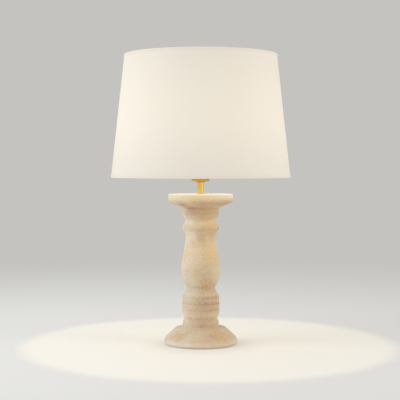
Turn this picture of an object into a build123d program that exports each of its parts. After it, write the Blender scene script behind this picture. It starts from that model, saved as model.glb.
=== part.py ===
"""Table lamp: a turned ceramic column, a brass lampholder with a bulb, and a tapered cloth drum shade."""
import os
from math import acos, atan2, cos, degrees, hypot, pi, sin, sqrt, tan

from build123d import *

# Sizes are in millimetres. +Z is up, the floor is at zero, the front faces -Y.

# Clearances
FIT = 0.1  # between pieces that are fixed together
PLAY = 0.3  # round a piece that turns
SEAT_GAP = 0.1  # under a piece that turns on a flat seat
GLUE = 0.15  # between the layers of the shade

# Column, radii of its turning
FOOT_RADIUS = 73.4
FOOT_SETBACK = 2.8  # the foot draws in by this at its underside
NOSE_SETBACK = 4.2  # and by this where the bevel starts
SHOULDER_RADIUS = 50.0
BEAD_RADIUS = 35.7
DRUM_RADIUS = 36.9  # half way up
DRUM_TAPER = 0.2  # the drum is this much wider at its foot and slimmer at its top
LOWER_GROOVE_RADIUS = 32.2
WAIST_RADIUS = 27.6
NECK_GROOVE_RADIUS = 28.8
TORUS_RADIUS = 36.5  # round moulding above the neck
COVE_RADIUS = 29.3
BAND_RADIUS = 36.3
VASE_RADIUS = 39.2
VASE_DRAFT = 2.2  # the vase's lower side starts this much slimmer
PLATE_RADIUS = 64.2

# Column, heights of its mouldings from the foot up
FOOT_BULGE_RISE = 4.0
FOOT_NOSE_RISE = 8.6
BEVEL_RISE = 17.8
SHOULDER_RISE = 3.2
BEAD_RISE = 8.9
BEAD_FALL = 7.5
DRUM_LEAD = 8.8
BAND_COUNT = 3
LOW_BAND_HEIGHT = 12.9
BAND_PITCH = 11.9
TOP_BAND_HEIGHT = 9.2
BAND_GROOVE_DEPTH = 0.8
BAND_GROOVE_WIDTH = 3.6
DRUM_FALL = 16.8
VASE_SWELL = 14.9
VASE_BELLY = 24.5
VASE_TAPER = 62.5
TORUS_RISE = 16.1
TORUS_HEIGHT = 3.2  # between the two corners that round it
TORUS_FALL = 13.3
BAND_RISE = 10.4
BAND_HEIGHT = 14.3
FLARE_RISE = 11.2
PLATE_EDGE = 15.5

# Column, roundings
ARRIS = 1.5
SOFT_ROUND = 4.0
FLARE_ROUND = 7.0
NOSE_ROUND = 8.0
NECK_ROUND = 20.0
BELLY_ROUND = 60.0

# Column, hollow
BORE_RADIUS = 20.0
TOP_SOLID = 35.5
FOOT_HOLLOW_RADIUS = 56.0
FOOT_HOLLOW_DEPTH = 18.0

# Fixings in the foot
PAD_THICKNESS = 2.0
PAD_MARGIN = 3.6  # the pad stays this far inside the foot's underside
ROD_RADIUS = 5.0
ROD_BORE = 3.5
ROD_TAIL = 3.0
BASE_PLATE_THICKNESS = 3.0
WASHER_RADIUS = 9.0
WASHER_THICKNESS = 2.0
WASHER_SPLIT = 1.5
NUT_ACROSS_FLATS = 17.0
NUT_HEIGHT = 6.0

# Cord inlet at the back of the foot
CORD_BORE = 3.2
GROMMET_WALL = 1.4
GROMMET_FLANGE = 1.5  # the flange stands out this far from the bush
GROMMET_FLANGE_THICKNESS = 2.0
GROMMET_HEIGHT = 8.0  # above the foot's underside
GROMMET_SINK = 6.4  # the flange's seat lies this far inside the foot

# Neck and lampholder
NECK_RADIUS = 6.05
NECK_HEIGHT = 23.0
CAP_RADIUS = 18.0
CAP_WALL = 0.8
CAP_LIP = 0.6  # flat round the neck tube before the dome starts
CAP_DOME = 6.0
CAP_CROWN = 0.7
CAP_SIDE = 11.5
BUSH_HEIGHT = 9.0
GRUB_RADIUS = 1.4
GRUB_LENGTH = 3.2
SKIRT_OVERLAP = 7.0
SKIRT_PLAIN = 14.0
SKIRT_WALL = 1.4
SKIRT_LIP = 3.6
THREAD_RADIUS = 19.75
THREAD_LENGTH = 26.0
THREAD_WALL = 2.0
INSERT_DROP = 1.0  # the insert's top lies this far below the threaded part
LINER_WALL = 1.9
LINER_DROP = 1.0
SHELL_BORE = 13.45
SHELL_WALL = 0.6
SHELL_HEIGHT = 24.0
SHELL_FLOOR_HOLE = 9.0
CONTACT_RADIUS = 4.5
CONTACT_HEIGHT = 2.0
TAB_WIDTH = 4.0
TAB_HEIGHT = 10.0
TERMINAL_DEPTH = 11.0
TERMINAL_POCKET = 9.0
TERMINAL_HEAD_RADIUS = 3.5
TERMINAL_HEAD = 2.0
TERMINAL_SHANK_RADIUS = 1.6
TERMINAL_SHANK = 5.0

# Rotary switch on the holder's right side
SPINDLE_RADIUS = 2.2
SPINDLE_HEIGHT = 6.5  # above the holder's joint line
CAM_RADIUS = 4.0
CAM_LENGTH = 6.0
CAM_LOBES = 4
KNOB_RADIUS = 7.0
KNOB_TIP_RADIUS = 6.0
KNOB_LENGTH = 18.0
KNOB_STANDOFF = 1.0
KNOB_GRIP_DEPTH = 11.0
KNOB_FLUTES = 12
FLUTE_RADIUS = 0.9

# Rings that hold the shade
RING_RADIUS = 27.0
RING_COLLAR = 3.4  # the rings' collars are this much smaller than their flanges
RING_FLANGE = 2.2
LOWER_RING_HEIGHT = 5.0
LOWER_RING_RISE = 4.0  # above the start of the thread
CLAMP_RING_HEIGHT = 5.3
CARRIER_RADIUS = 32.0
CARRIER_THICKNESS = 1.5
ARM_COUNT = 3
ARM_RADIUS = 1.75
ARM_LEVEL = 23.0  # level run of each arm before it slopes down
ARM_BEND = 14.0
ARM_OVERHANG = 0.8  # past the middle of the wire ring

# Shade
SHADE_BOTTOM_RADIUS = 177.8
SHADE_TOP_RADIUS = 151.0
SHADE_HEIGHT = 241.8
SHADE_RECESS = 30.8  # the carrier sits this far above the lower rim
COVER_THICKNESS = 0.8
LINING_THICKNESS = 0.5
WIRE_RADIUS = 1.6
HEM_THICKNESS = 0.6
HEM_HEIGHT = 5.0
HEM_RETURN = 3.4
HEM_ROLL = 0.9
LAP_WIDTH = 15.0
LAP_THICKNESS = 0.5

# Bulb
TIP_RADIUS = 4.8
TIP_HEIGHT = 1.5
INSULATOR_RADIUS = 11.0
INSULATOR_HEIGHT = 4.0
CAP_SCREW_PLAY = 0.4  # between the bulb's cap and the screw shell
BULB_CAP_HEIGHT = 22.4
BULB_CAP_WALL = 0.5
COLLAR_LIP = 0.6
COLLAR_NECK = 3.0
COLLAR_HEIGHT = 31.0
COLLAR_WALL = 1.6
COLLAR_PLUG = 10.0
GLOBE_RADIUS = 30.0
GLOBE_SEAT_RADIUS = 22.4
GLOBE_WALL = 1.2
LED_BOARD_THICKNESS = 1.6
LED_BOARD_DROP = 2.0

# Levels, worked out from the sizes above
FOOT_Z = PAD_THICKNESS
BULGE_Z = FOOT_Z + FOOT_BULGE_RISE
NOSE_Z = BULGE_Z + FOOT_NOSE_RISE
BEVEL_Z = NOSE_Z + BEVEL_RISE
SHOULDER_Z = BEVEL_Z + SHOULDER_RISE
BEAD_Z = SHOULDER_Z + BEAD_RISE
LOWER_GROOVE_Z = BEAD_Z + BEAD_FALL
DRUM_Z = LOWER_GROOVE_Z + DRUM_LEAD
DRUM_TOP_Z = DRUM_Z + LOW_BAND_HEIGHT + (BAND_COUNT - 2) * BAND_PITCH + TOP_BAND_HEIGHT
WAIST_Z = DRUM_TOP_Z + DRUM_FALL
VASE_LOW_Z = WAIST_Z + VASE_SWELL
VASE_Z = VASE_LOW_Z + VASE_BELLY
NECK_Z = VASE_Z + VASE_TAPER
TORUS_Z = NECK_Z + TORUS_RISE
TORUS_TOP = TORUS_Z + TORUS_HEIGHT
COVE_Z = TORUS_TOP + TORUS_FALL
BAND_Z = COVE_Z + BAND_RISE
FLARE_Z = BAND_Z + BAND_HEIGHT
PLATE_Z = FLARE_Z + FLARE_RISE
COLUMN_TOP = PLATE_Z + PLATE_EDGE

LEDGE_Z = FOOT_Z + FOOT_HOLLOW_DEPTH
BORE_TOP = COLUMN_TOP - TOP_SOLID
BASE_PLATE_Z = LEDGE_Z - BASE_PLATE_THICKNESS
WASHER_Z = BASE_PLATE_Z - WASHER_THICKNESS
NUT_Z = WASHER_Z - NUT_HEIGHT
ROD_BOTTOM = NUT_Z - ROD_TAIL
GROMMET_Z = FOOT_Z + GROMMET_HEIGHT
GROMMET_SEAT = FOOT_RADIUS - GROMMET_SINK
GROMMET_RADIUS = CORD_BORE + GROMMET_WALL

CAP_Z = COLUMN_TOP + NECK_HEIGHT
CAP_RIM_Z = CAP_Z + CAP_DOME
CAP_TOP = CAP_RIM_Z + CAP_SIDE
BUSH_Z = CAP_Z + CAP_WALL
BUSH_TOP = BUSH_Z + BUSH_HEIGHT
SKIRT_Z = CAP_TOP - SKIRT_OVERLAP
THREAD_Z = CAP_TOP + SKIRT_PLAIN
THREAD_TOP = THREAD_Z + THREAD_LENGTH
INSERT_Z = SKIRT_Z + SKIRT_WALL
INSERT_TOP = THREAD_Z - INSERT_DROP
SKIRT_NECK_RADIUS = CAP_RADIUS - CAP_WALL - FIT
SKIRT_BORE = SKIRT_NECK_RADIUS - SKIRT_WALL
LINER_SEAT_RADIUS = THREAD_RADIUS - THREAD_WALL
SHELL_RADIUS = SHELL_BORE + SHELL_WALL
CONTACT_TOP = INSERT_TOP + CONTACT_HEIGHT
SPINDLE_Z = CAP_TOP + SPINDLE_HEIGHT
TERMINAL_Z = (INSERT_Z + INSERT_TOP) / 2
INSERT_RADIUS = SKIRT_BORE - FIT

LOWER_RING_Z = THREAD_Z + LOWER_RING_RISE
CARRIER_Z = LOWER_RING_Z + LOWER_RING_HEIGHT + SEAT_GAP
CLAMP_RING_Z = CARRIER_Z + CARRIER_THICKNESS + SEAT_GAP
SHADE_Z = CARRIER_Z - SHADE_RECESS
SHADE_TOP = SHADE_Z + SHADE_HEIGHT
HEM_PROUD = GLUE + HEM_THICKNESS
WIRE_INSET = COVER_THICKNESS + GLUE + LINING_THICKNESS + GLUE + WIRE_RADIUS
WIRE_RISE = HEM_THICKNESS + GLUE + WIRE_RADIUS

TIP_Z = CONTACT_TOP + SEAT_GAP
INSULATOR_Z = TIP_Z + TIP_HEIGHT + SEAT_GAP
BULB_CAP_Z = INSULATOR_Z + INSULATOR_HEIGHT
BULB_CAP_TOP = BULB_CAP_Z + BULB_CAP_HEIGHT
BULB_CAP_RADIUS = SHELL_BORE - CAP_SCREW_PLAY
COLLAR_TOP = BULB_CAP_TOP + COLLAR_HEIGHT
GLOBE_Z = COLLAR_TOP + sqrt(GLOBE_RADIUS**2 - GLOBE_SEAT_RADIUS**2)


# Helpers


def turned(*edges):
    """Solid of revolution about Z from edges that close an outline in (radius, height)."""
    return revolve(Plane.XZ * make_face(edges), Axis.Z)


def turned_polygon(*points):
    """Solid of revolution about Z from a straight-sided outline in (radius, height)."""
    return turned(*Polyline(*points, close=True).edges())


def disc(radius, low, high):
    """Upright cylinder on the lamp's axis."""
    return Pos(0, 0, low) * Cylinder(radius, high - low, align=(Align.CENTER, Align.CENTER, Align.MIN))


def ring(outer, inner, low, high):
    """Upright tube on the lamp's axis."""
    return disc(outer, low, high) - disc(inner, low, high)


def rod_along_x(radius, start, end, height):
    """Cylinder along +X through the lamp's axis at a height."""
    bar = Cylinder(radius, end - start, align=(Align.CENTER, Align.CENTER, Align.MIN))
    return Pos(start, 0, height) * Rot(0, 90, 0) * bar


def rod_along_y(radius, start, end, height):
    """Cylinder along +Y through the lamp's axis at a height."""
    bar = Cylinder(radius, end - start, align=(Align.CENTER, Align.CENTER, Align.MIN))
    return Pos(0, start, height) * Rot(-90, 0, 0) * bar


def eased_line(corners):
    """Line through (radius, height, rounding) corners, each rounding kept within its two runs."""
    points = [(r, z) for r, z, _ in corners]
    roundings = []
    for before, here, after, corner in zip(points, points[1:], points[2:], corners[1:]):
        run_in = (here[0] - before[0], here[1] - before[1])
        run_out = (after[0] - here[0], after[1] - here[1])
        shorter = min(hypot(*run_in), hypot(*run_out))
        along = (run_in[0] * run_out[0] + run_in[1] * run_out[1]) / (hypot(*run_in) * hypot(*run_out))
        turn = acos(max(-1.0, min(1.0, along)))
        roundings.append(min(corner[2], 0.48 * shorter / tan(turn / 2)))
    return FilletPolyline(*points, radius=roundings)


def bowed(start, end, bow):
    """Arc from start to end in (radius, height), bowed to the right of the way by the given amount."""
    run = (end[0] - start[0], end[1] - start[1])
    length = hypot(*run)
    middle = (
        (start[0] + end[0]) / 2 + bow * run[1] / length,
        (start[1] + end[1]) / 2 - bow * run[0] / length,
    )
    return ThreePointArc(start, middle, end)


def cover_radius(height):
    """Outer radius of the shade's cloth at a height."""
    share = (height - SHADE_Z) / SHADE_HEIGHT
    return SHADE_BOTTOM_RADIUS - HEM_PROUD + share * (SHADE_TOP_RADIUS - SHADE_BOTTOM_RADIUS)


# Base


def drum_corners():
    """Corners of the banded drum, with a shallow groove between bands."""
    foot_radius = DRUM_RADIUS + DRUM_TAPER
    top_radius = DRUM_RADIUS - DRUM_TAPER
    corners = [(foot_radius, DRUM_Z, SOFT_ROUND)]
    for band in range(1, BAND_COUNT):
        groove = DRUM_Z + LOW_BAND_HEIGHT + (band - 1) * BAND_PITCH
        share = (groove - DRUM_Z) / (DRUM_TOP_Z - DRUM_Z)
        radius = foot_radius + share * (top_radius - foot_radius)
        corners.append((radius, groove - BAND_GROOVE_WIDTH / 2, ARRIS))
        corners.append((radius - BAND_GROOVE_DEPTH, groove, ARRIS))
        corners.append((radius, groove + BAND_GROOVE_WIDTH / 2, ARRIS))
    corners.append((top_radius, DRUM_TOP_Z, SOFT_ROUND))
    return corners


def column():
    """Turned ceramic column: foot, bead, drum, vase, torus, band and flared top plate."""
    corners = [
        (0, FOOT_Z, 0),
        (FOOT_RADIUS - FOOT_SETBACK, FOOT_Z, ARRIS),
        (FOOT_RADIUS, BULGE_Z, NOSE_ROUND),
        (FOOT_RADIUS - NOSE_SETBACK, NOSE_Z, SOFT_ROUND),
        (SHOULDER_RADIUS, BEVEL_Z, SOFT_ROUND),
        (BEAD_RADIUS, SHOULDER_Z, ARRIS),
        (BEAD_RADIUS, BEAD_Z, SOFT_ROUND),
        (LOWER_GROOVE_RADIUS, LOWER_GROOVE_Z, ARRIS),
        *drum_corners(),
        (WAIST_RADIUS, WAIST_Z, ARRIS),
        (VASE_RADIUS - VASE_DRAFT, VASE_LOW_Z, BELLY_ROUND),
        (VASE_RADIUS, VASE_Z, BELLY_ROUND),
        (NECK_GROOVE_RADIUS, NECK_Z, NECK_ROUND),
        (TORUS_RADIUS, TORUS_Z, SOFT_ROUND),
        (TORUS_RADIUS, TORUS_TOP, SOFT_ROUND),
        (COVE_RADIUS, COVE_Z, SOFT_ROUND),
        (BAND_RADIUS, BAND_Z, SOFT_ROUND),
        (BAND_RADIUS, FLARE_Z, FLARE_ROUND),
        (PLATE_RADIUS, PLATE_Z, NOSE_ROUND),
        (PLATE_RADIUS, COLUMN_TOP, ARRIS),
        (0, COLUMN_TOP, 0),
    ]
    body = turned(*eased_line(corners).edges(), Line((0, COLUMN_TOP), (0, FOOT_Z)))
    body -= disc(FOOT_HOLLOW_RADIUS, FOOT_Z, LEDGE_Z)
    body -= disc(BORE_RADIUS, LEDGE_Z, BORE_TOP)
    body -= disc(ROD_RADIUS + PLAY, BORE_TOP, COLUMN_TOP)
    body -= rod_along_y(GROMMET_RADIUS + FIT, 0, FOOT_RADIUS, GROMMET_Z)
    body -= rod_along_y(GROMMET_RADIUS + GROMMET_FLANGE + FIT, GROMMET_SEAT, FOOT_RADIUS, GROMMET_Z)
    return body


def base_washer():
    """Split spring washer under the base plate."""
    washer = ring(WASHER_RADIUS, ROD_RADIUS + FIT, WASHER_Z, BASE_PLATE_Z)
    split = Box(WASHER_RADIUS, WASHER_SPLIT, 2 * WASHER_THICKNESS, align=(Align.MIN, Align.CENTER, Align.CENTER))
    return washer - Pos(0, 0, (WASHER_Z + BASE_PLATE_Z) / 2) * Rot(0, 0, 45) * split


def base_nut():
    """Hexagon nut on the rod's lower end, with chamfered corners."""
    prism = extrude(RegularPolygon(NUT_ACROSS_FLATS / 2, 6, major_radius=False), NUT_HEIGHT)
    nut = Pos(0, 0, NUT_Z) * prism
    slope = NUT_ACROSS_FLATS / sqrt(3) + NUT_HEIGHT * sqrt(3)
    cone = turned_polygon((0, NUT_Z), (NUT_ACROSS_FLATS / 2, NUT_Z), (slope, WASHER_Z), (0, WASHER_Z))
    return (nut & cone) - disc(ROD_RADIUS + FIT, NUT_Z, WASHER_Z)


def cord_grommet():
    """Flanged bush that lines the cord hole at the back of the foot."""
    bush = rod_along_y(GROMMET_RADIUS, FOOT_HOLLOW_RADIUS, GROMMET_SEAT, GROMMET_Z)
    flange_end = GROMMET_SEAT + GROMMET_FLANGE_THICKNESS
    flange = rod_along_y(GROMMET_RADIUS + GROMMET_FLANGE, GROMMET_SEAT, flange_end, GROMMET_Z)
    rim = flange.faces().sort_by(Axis.Y)[-1].edges()
    flange = fillet(rim, min(GROMMET_FLANGE, GROMMET_FLANGE_THICKNESS) * 0.6)
    return bush + flange - rod_along_y(CORD_BORE, 0, FOOT_RADIUS, GROMMET_Z)


# Lampholder


def holder_cap():
    """Shallow brass dome with a straight side, seated on the neck tube."""
    start = (NECK_RADIUS + CAP_LIP, CAP_Z)
    outer_edge = (CAP_RADIUS, CAP_RIM_Z)
    outer = turned(
        Line((0, CAP_Z), start),
        bowed(start, outer_edge, CAP_CROWN),
        Line(outer_edge, (CAP_RADIUS, CAP_TOP)),
        Line((CAP_RADIUS, CAP_TOP), (0, CAP_TOP)),
        Line((0, CAP_TOP), (0, CAP_Z)),
    )
    inner_start = (NECK_RADIUS + CAP_LIP, CAP_Z + CAP_WALL)
    inner_edge = (CAP_RADIUS - CAP_WALL, CAP_RIM_Z + CAP_WALL)
    inner = turned(
        Line((0, CAP_Z + CAP_WALL), inner_start),
        bowed(inner_start, inner_edge, CAP_CROWN),
        Line(inner_edge, (CAP_RADIUS - CAP_WALL, CAP_TOP)),
        Line((CAP_RADIUS - CAP_WALL, CAP_TOP), (0, CAP_TOP)),
        Line((0, CAP_TOP), (0, CAP_Z + CAP_WALL)),
    )
    return outer - inner - disc(ROD_RADIUS + FIT, CAP_Z, CAP_TOP)


def cap_bush():
    """Threaded bush inside the cap, drilled for its locking screw."""
    bush = ring(NECK_RADIUS + CAP_LIP, ROD_RADIUS + FIT, BUSH_Z, BUSH_TOP)
    return bush - rod_along_x(GRUB_RADIUS + FIT, 0, CAP_RADIUS, (BUSH_Z + BUSH_TOP) / 2)


def cap_screw():
    """Locking screw through the bush, its tip against the rod."""
    start = ROD_RADIUS + FIT
    return rod_along_x(GRUB_RADIUS, start, start + GRUB_LENGTH, (BUSH_Z + BUSH_TOP) / 2)


def holder_skirt():
    """Outer body of the holder: a neck in the cap, a plain part, and the part that the rings screw on."""
    body = turned_polygon(
        (SKIRT_BORE - SKIRT_LIP, SKIRT_Z),
        (SKIRT_NECK_RADIUS, SKIRT_Z),
        (SKIRT_NECK_RADIUS, CAP_TOP),
        (CAP_RADIUS, CAP_TOP),
        (CAP_RADIUS, THREAD_Z),
        (THREAD_RADIUS, THREAD_Z),
        (THREAD_RADIUS, THREAD_TOP),
        (LINER_SEAT_RADIUS, THREAD_TOP),
        (LINER_SEAT_RADIUS, INSERT_TOP),
        (SKIRT_BORE, INSERT_TOP),
        (SKIRT_BORE, INSERT_Z),
        (SKIRT_BORE - SKIRT_LIP, INSERT_Z),
    )
    return body - rod_along_x(SPINDLE_RADIUS + PLAY, 0, THREAD_RADIUS, SPINDLE_Z)


def holder_insert():
    """Insulating block with the switch chamber, the spindle hole and two terminal pockets."""
    block = disc(INSERT_RADIUS, INSERT_Z, INSERT_TOP)
    block -= disc(ROD_BORE, INSERT_Z, SPINDLE_Z - CAM_RADIUS - 2 * PLAY)
    chamber = CAM_LENGTH / 2 + PLAY
    block -= rod_along_x(CAM_RADIUS + PLAY, -chamber, chamber, SPINDLE_Z)
    block -= rod_along_x(SPINDLE_RADIUS + PLAY, 0, INSERT_RADIUS, SPINDLE_Z)
    for side in (0, 180):
        pocket = Box(TERMINAL_POCKET, INSERT_RADIUS, TERMINAL_POCKET, align=(Align.CENTER, Align.MIN, Align.CENTER))
        block -= Rot(0, 0, side) * Pos(0, TERMINAL_DEPTH, TERMINAL_Z) * pocket
        hole = rod_along_y(TERMINAL_SHANK_RADIUS + FIT, TERMINAL_DEPTH - TERMINAL_SHANK, TERMINAL_DEPTH, TERMINAL_Z)
        block -= Rot(0, 0, side) * hole
    return block


def terminal_screws():
    """Two cheese-head screws that clamp the wires, one on each side of the insert."""
    screws = []
    for side in (0, 180):
        head_end = TERMINAL_DEPTH + TERMINAL_HEAD
        screw = rod_along_y(TERMINAL_HEAD_RADIUS, TERMINAL_DEPTH, head_end, TERMINAL_Z)
        shank_end = TERMINAL_DEPTH - TERMINAL_SHANK
        screw += rod_along_y(TERMINAL_SHANK_RADIUS, shank_end, TERMINAL_DEPTH, TERMINAL_Z)
        slot = Box(2 * TERMINAL_HEAD_RADIUS, TERMINAL_HEAD, TERMINAL_HEAD / 2)
        screw -= Pos(0, head_end, TERMINAL_Z) * slot
        screws.append(Rot(0, 0, side) * screw)
    return Compound(children=screws)


def screw_shell():
    """Shell that the bulb screws into, with a floor that stands on the insert."""
    return turned_polygon(
        (SHELL_FLOOR_HOLE, INSERT_TOP),
        (SHELL_RADIUS, INSERT_TOP),
        (SHELL_RADIUS, INSERT_TOP + SHELL_HEIGHT),
        (SHELL_BORE, INSERT_TOP + SHELL_HEIGHT),
        (SHELL_BORE, INSERT_TOP + SHELL_WALL),
        (SHELL_FLOOR_HOLE, INSERT_TOP + SHELL_WALL),
    )


def centre_contact():
    """Domed button that the bulb's tip rests on."""
    edge = (CONTACT_RADIUS, INSERT_TOP + CONTACT_HEIGHT / 3)
    top = (CONTACT_RADIUS / 3, CONTACT_TOP)
    return turned(
        Line((0, INSERT_TOP), (CONTACT_RADIUS, INSERT_TOP)),
        Line((CONTACT_RADIUS, INSERT_TOP), edge),
        bowed(edge, top, CONTACT_HEIGHT / 8),
        Line(top, (0, CONTACT_TOP)),
        Line((0, CONTACT_TOP), (0, INSERT_TOP)),
    )


def shell_contact():
    """Tab that joins the screw shell to its terminal."""
    inner = SHELL_RADIUS + FIT
    outer = LINER_SEAT_RADIUS - FIT - LINER_WALL - FIT
    tab = ring(outer, inner, INSERT_TOP, INSERT_TOP + TAB_HEIGHT)
    strip = Box(2 * THREAD_RADIUS, TAB_WIDTH, 2 * TAB_HEIGHT, align=(Align.MIN, Align.CENTER, Align.CENTER))
    return tab & (Pos(0, 0, INSERT_TOP) * Rot(0, 0, 225) * strip)


# Switch


def switch_spindle():
    """Shaft of the rotary switch, from its chamber to the knob."""
    start = -CAM_LENGTH / 2
    end = CAP_RADIUS + KNOB_STANDOFF + KNOB_GRIP_DEPTH - FIT
    return rod_along_x(SPINDLE_RADIUS, start, end, SPINDLE_Z)


def switch_cam():
    """Lobed cam on the spindle, one lobe for each click of the switch."""
    cam = rod_along_x(CAM_RADIUS, -CAM_LENGTH / 2, CAM_LENGTH / 2, SPINDLE_Z)
    reach = CAM_RADIUS * 1.1
    for lobe in range(CAM_LOBES):
        angle = 2 * pi * (lobe + 0.5) / CAM_LOBES
        hollow = Cylinder(CAM_RADIUS / 3, CAM_LENGTH, align=(Align.CENTER, Align.CENTER, Align.MIN))
        place = Pos(-CAM_LENGTH / 2, reach * sin(angle), SPINDLE_Z + reach * cos(angle))
        cam -= place * Rot(0, 90, 0) * hollow
    return cam - rod_along_x(SPINDLE_RADIUS + FIT, -CAM_LENGTH, CAM_LENGTH, SPINDLE_Z)


def switch_knob():
    """Tapered knob with finger flutes, bored for the spindle."""
    start = CAP_RADIUS + KNOB_STANDOFF
    outline = [
        (0, 0, 0),
        (KNOB_RADIUS - ARRIS, 0, 0),
        (KNOB_RADIUS, ARRIS, ARRIS),
        (KNOB_TIP_RADIUS, KNOB_LENGTH, ARRIS),
        (0, KNOB_LENGTH, 0),
    ]
    body = turned(*eased_line(outline).edges(), Line((0, KNOB_LENGTH), (0, 0)))
    lean = degrees(atan2(KNOB_RADIUS - KNOB_TIP_RADIUS, KNOB_LENGTH - ARRIS))
    for flute in range(KNOB_FLUTES):
        groove = Cylinder(FLUTE_RADIUS, KNOB_LENGTH, align=(Align.CENTER, Align.CENTER, Align.MIN))
        place = Pos(KNOB_RADIUS, 0, 2 * ARRIS) * Rot(0, -lean, 0)
        body -= Rot(0, 0, 360 * flute / KNOB_FLUTES) * place * groove
    bore = Cylinder(SPINDLE_RADIUS + FIT, KNOB_GRIP_DEPTH, align=(Align.CENTER, Align.CENTER, Align.MIN))
    return Pos(start, 0, SPINDLE_Z) * Rot(0, 90, 0) * (body - bore)


# Rings


def lower_ring():
    """Threaded ring that the shade's carrier rests on: a collar with its flange on top."""
    top = LOWER_RING_Z + LOWER_RING_HEIGHT
    inner = THREAD_RADIUS + FIT
    collar = ring(RING_RADIUS - RING_COLLAR, inner, LOWER_RING_Z, top)
    return collar + ring(RING_RADIUS, inner, top - RING_FLANGE, top)


def clamp_ring():
    """Threaded ring that presses the carrier down: a flange with its collar on top."""
    top = CLAMP_RING_Z + CLAMP_RING_HEIGHT
    inner = THREAD_RADIUS + PLAY
    collar = ring(RING_RADIUS - RING_COLLAR, inner, CLAMP_RING_Z, top)
    return collar + ring(RING_RADIUS, inner, CLAMP_RING_Z, CLAMP_RING_Z + RING_FLANGE)


# Shade


def cloth_layer(low, high, outer, inner):
    """Tapered tube between two offsets from the cloth's outer face."""
    return turned_polygon(
        (cover_radius(low) + outer, low),
        (cover_radius(high) + outer, high),
        (cover_radius(high) + inner, high),
        (cover_radius(low) + inner, low),
    )


def shade_cover():
    """Cloth drum with a lapped seam down the back."""
    edge = HEM_THICKNESS + GLUE
    cover = cloth_layer(SHADE_Z + edge, SHADE_TOP - edge, 0, -COVER_THICKNESS)
    low = SHADE_Z + HEM_HEIGHT + GLUE
    high = SHADE_TOP - HEM_HEIGHT - GLUE
    root = -COVER_THICKNESS / 2
    strip = Polyline(
        (cover_radius(low) + LAP_THICKNESS, low),
        (cover_radius(high) + LAP_THICKNESS, high),
        (cover_radius(high) + root, high),
        (cover_radius(low) + root, low),
        close=True,
    )
    angle = degrees(LAP_WIDTH / cover_radius((low + high) / 2))
    lap = revolve(Plane.XZ * make_face(strip.edges()), Axis.Z, angle)
    lap_middle = lap.center()
    turn_back = 90 - degrees(atan2(lap_middle.Y, lap_middle.X))
    return cover + Rot(0, 0, turn_back) * lap


def shade_liner():
    """Stiff lining behind the cloth."""
    edge = HEM_THICKNESS + GLUE
    outer = -COVER_THICKNESS - GLUE
    return cloth_layer(SHADE_Z + edge, SHADE_TOP - edge, outer, outer - LINING_THICKNESS)


def wire_ring(height):
    """Wire ring inside the lining at a height."""
    return Pos(0, 0, height) * Torus(cover_radius(height) - WIRE_INSET, WIRE_RADIUS)


def hem(edge, inward):
    """Rolled cloth edge round a rim. inward is +1 on the lower rim and -1 on the upper rim."""
    leg = edge + inward * HEM_HEIGHT
    floor = edge + inward * HEM_THICKNESS
    back = edge + inward * HEM_RETURN
    inside = -WIRE_INSET - WIRE_RADIUS - GLUE
    corners = [
        (cover_radius(edge) + HEM_PROUD, edge),
        (cover_radius(leg) + HEM_PROUD, leg),
        (cover_radius(leg) + GLUE, leg),
        (cover_radius(floor) + GLUE, floor),
        (cover_radius(floor) + inside, floor),
        (cover_radius(back) + inside, back),
        (cover_radius(back) + inside - HEM_THICKNESS, back),
        (cover_radius(edge) + inside - HEM_THICKNESS, edge),
    ]
    rolls = [HEM_ROLL, 0, 0, 0, 0, 0, 0, HEM_ROLL]
    return turned(*FilletPolyline(*corners, radius=rolls, close=True).edges())


def shade_carrier():
    """Flat ring that the two holder rings clamp."""
    return ring(CARRIER_RADIUS, THREAD_RADIUS + 2 * PLAY, CARRIER_Z, CARRIER_Z + CARRIER_THICKNESS)


def spider_arms():
    """Bent arms from the carrier out and down to the top of the lower wire ring."""
    level = CARRIER_Z + CARRIER_THICKNESS / 2
    wire_z = SHADE_Z + WIRE_RISE
    end_radius = cover_radius(wire_z) - WIRE_INSET + ARM_OVERHANG
    end_z = wire_z + WIRE_RADIUS + ARM_RADIUS + SEAT_GAP
    start = (CARRIER_RADIUS, 0, level)
    path = FilletPolyline(start, (CARRIER_RADIUS + ARM_LEVEL, 0, level), (end_radius, 0, end_z), radius=ARM_BEND)
    section = Plane(origin=start, z_dir=(1, 0, 0)) * Circle(ARM_RADIUS)
    arm = sweep(section, path=path)
    return Compound(children=[Rot(0, 0, 90 + 360 * i / ARM_COUNT) * arm for i in range(ARM_COUNT)])


# Bulb


def bulb_tip():
    """Solder button at the bulb's lower end."""
    low = (TIP_RADIUS / 2, TIP_Z)
    high = (TIP_RADIUS, TIP_Z + TIP_HEIGHT)
    return turned(
        Line((0, TIP_Z), low),
        bowed(low, high, TIP_HEIGHT / 5),
        Line(high, (0, TIP_Z + TIP_HEIGHT)),
        Line((0, TIP_Z + TIP_HEIGHT), (0, TIP_Z)),
    )


def bulb_insulator():
    """Dark insulating cone between the tip and the cap."""
    return turned_polygon(
        (0, INSULATOR_Z),
        (TIP_RADIUS + COLLAR_LIP, INSULATOR_Z),
        (INSULATOR_RADIUS, BULB_CAP_Z),
        (0, BULB_CAP_Z),
    )


def bulb_cap():
    """Screw cap of the bulb."""
    inner = BULB_CAP_RADIUS - BULB_CAP_WALL
    body = disc(BULB_CAP_RADIUS, BULB_CAP_Z, BULB_CAP_TOP)
    body = chamfer(body.edges().group_by(Axis.Z)[0], BULB_CAP_RADIUS - INSULATOR_RADIUS)
    return body - disc(inner, BULB_CAP_Z + BULB_CAP_RADIUS - INSULATOR_RADIUS + BULB_CAP_WALL, BULB_CAP_TOP)


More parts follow.
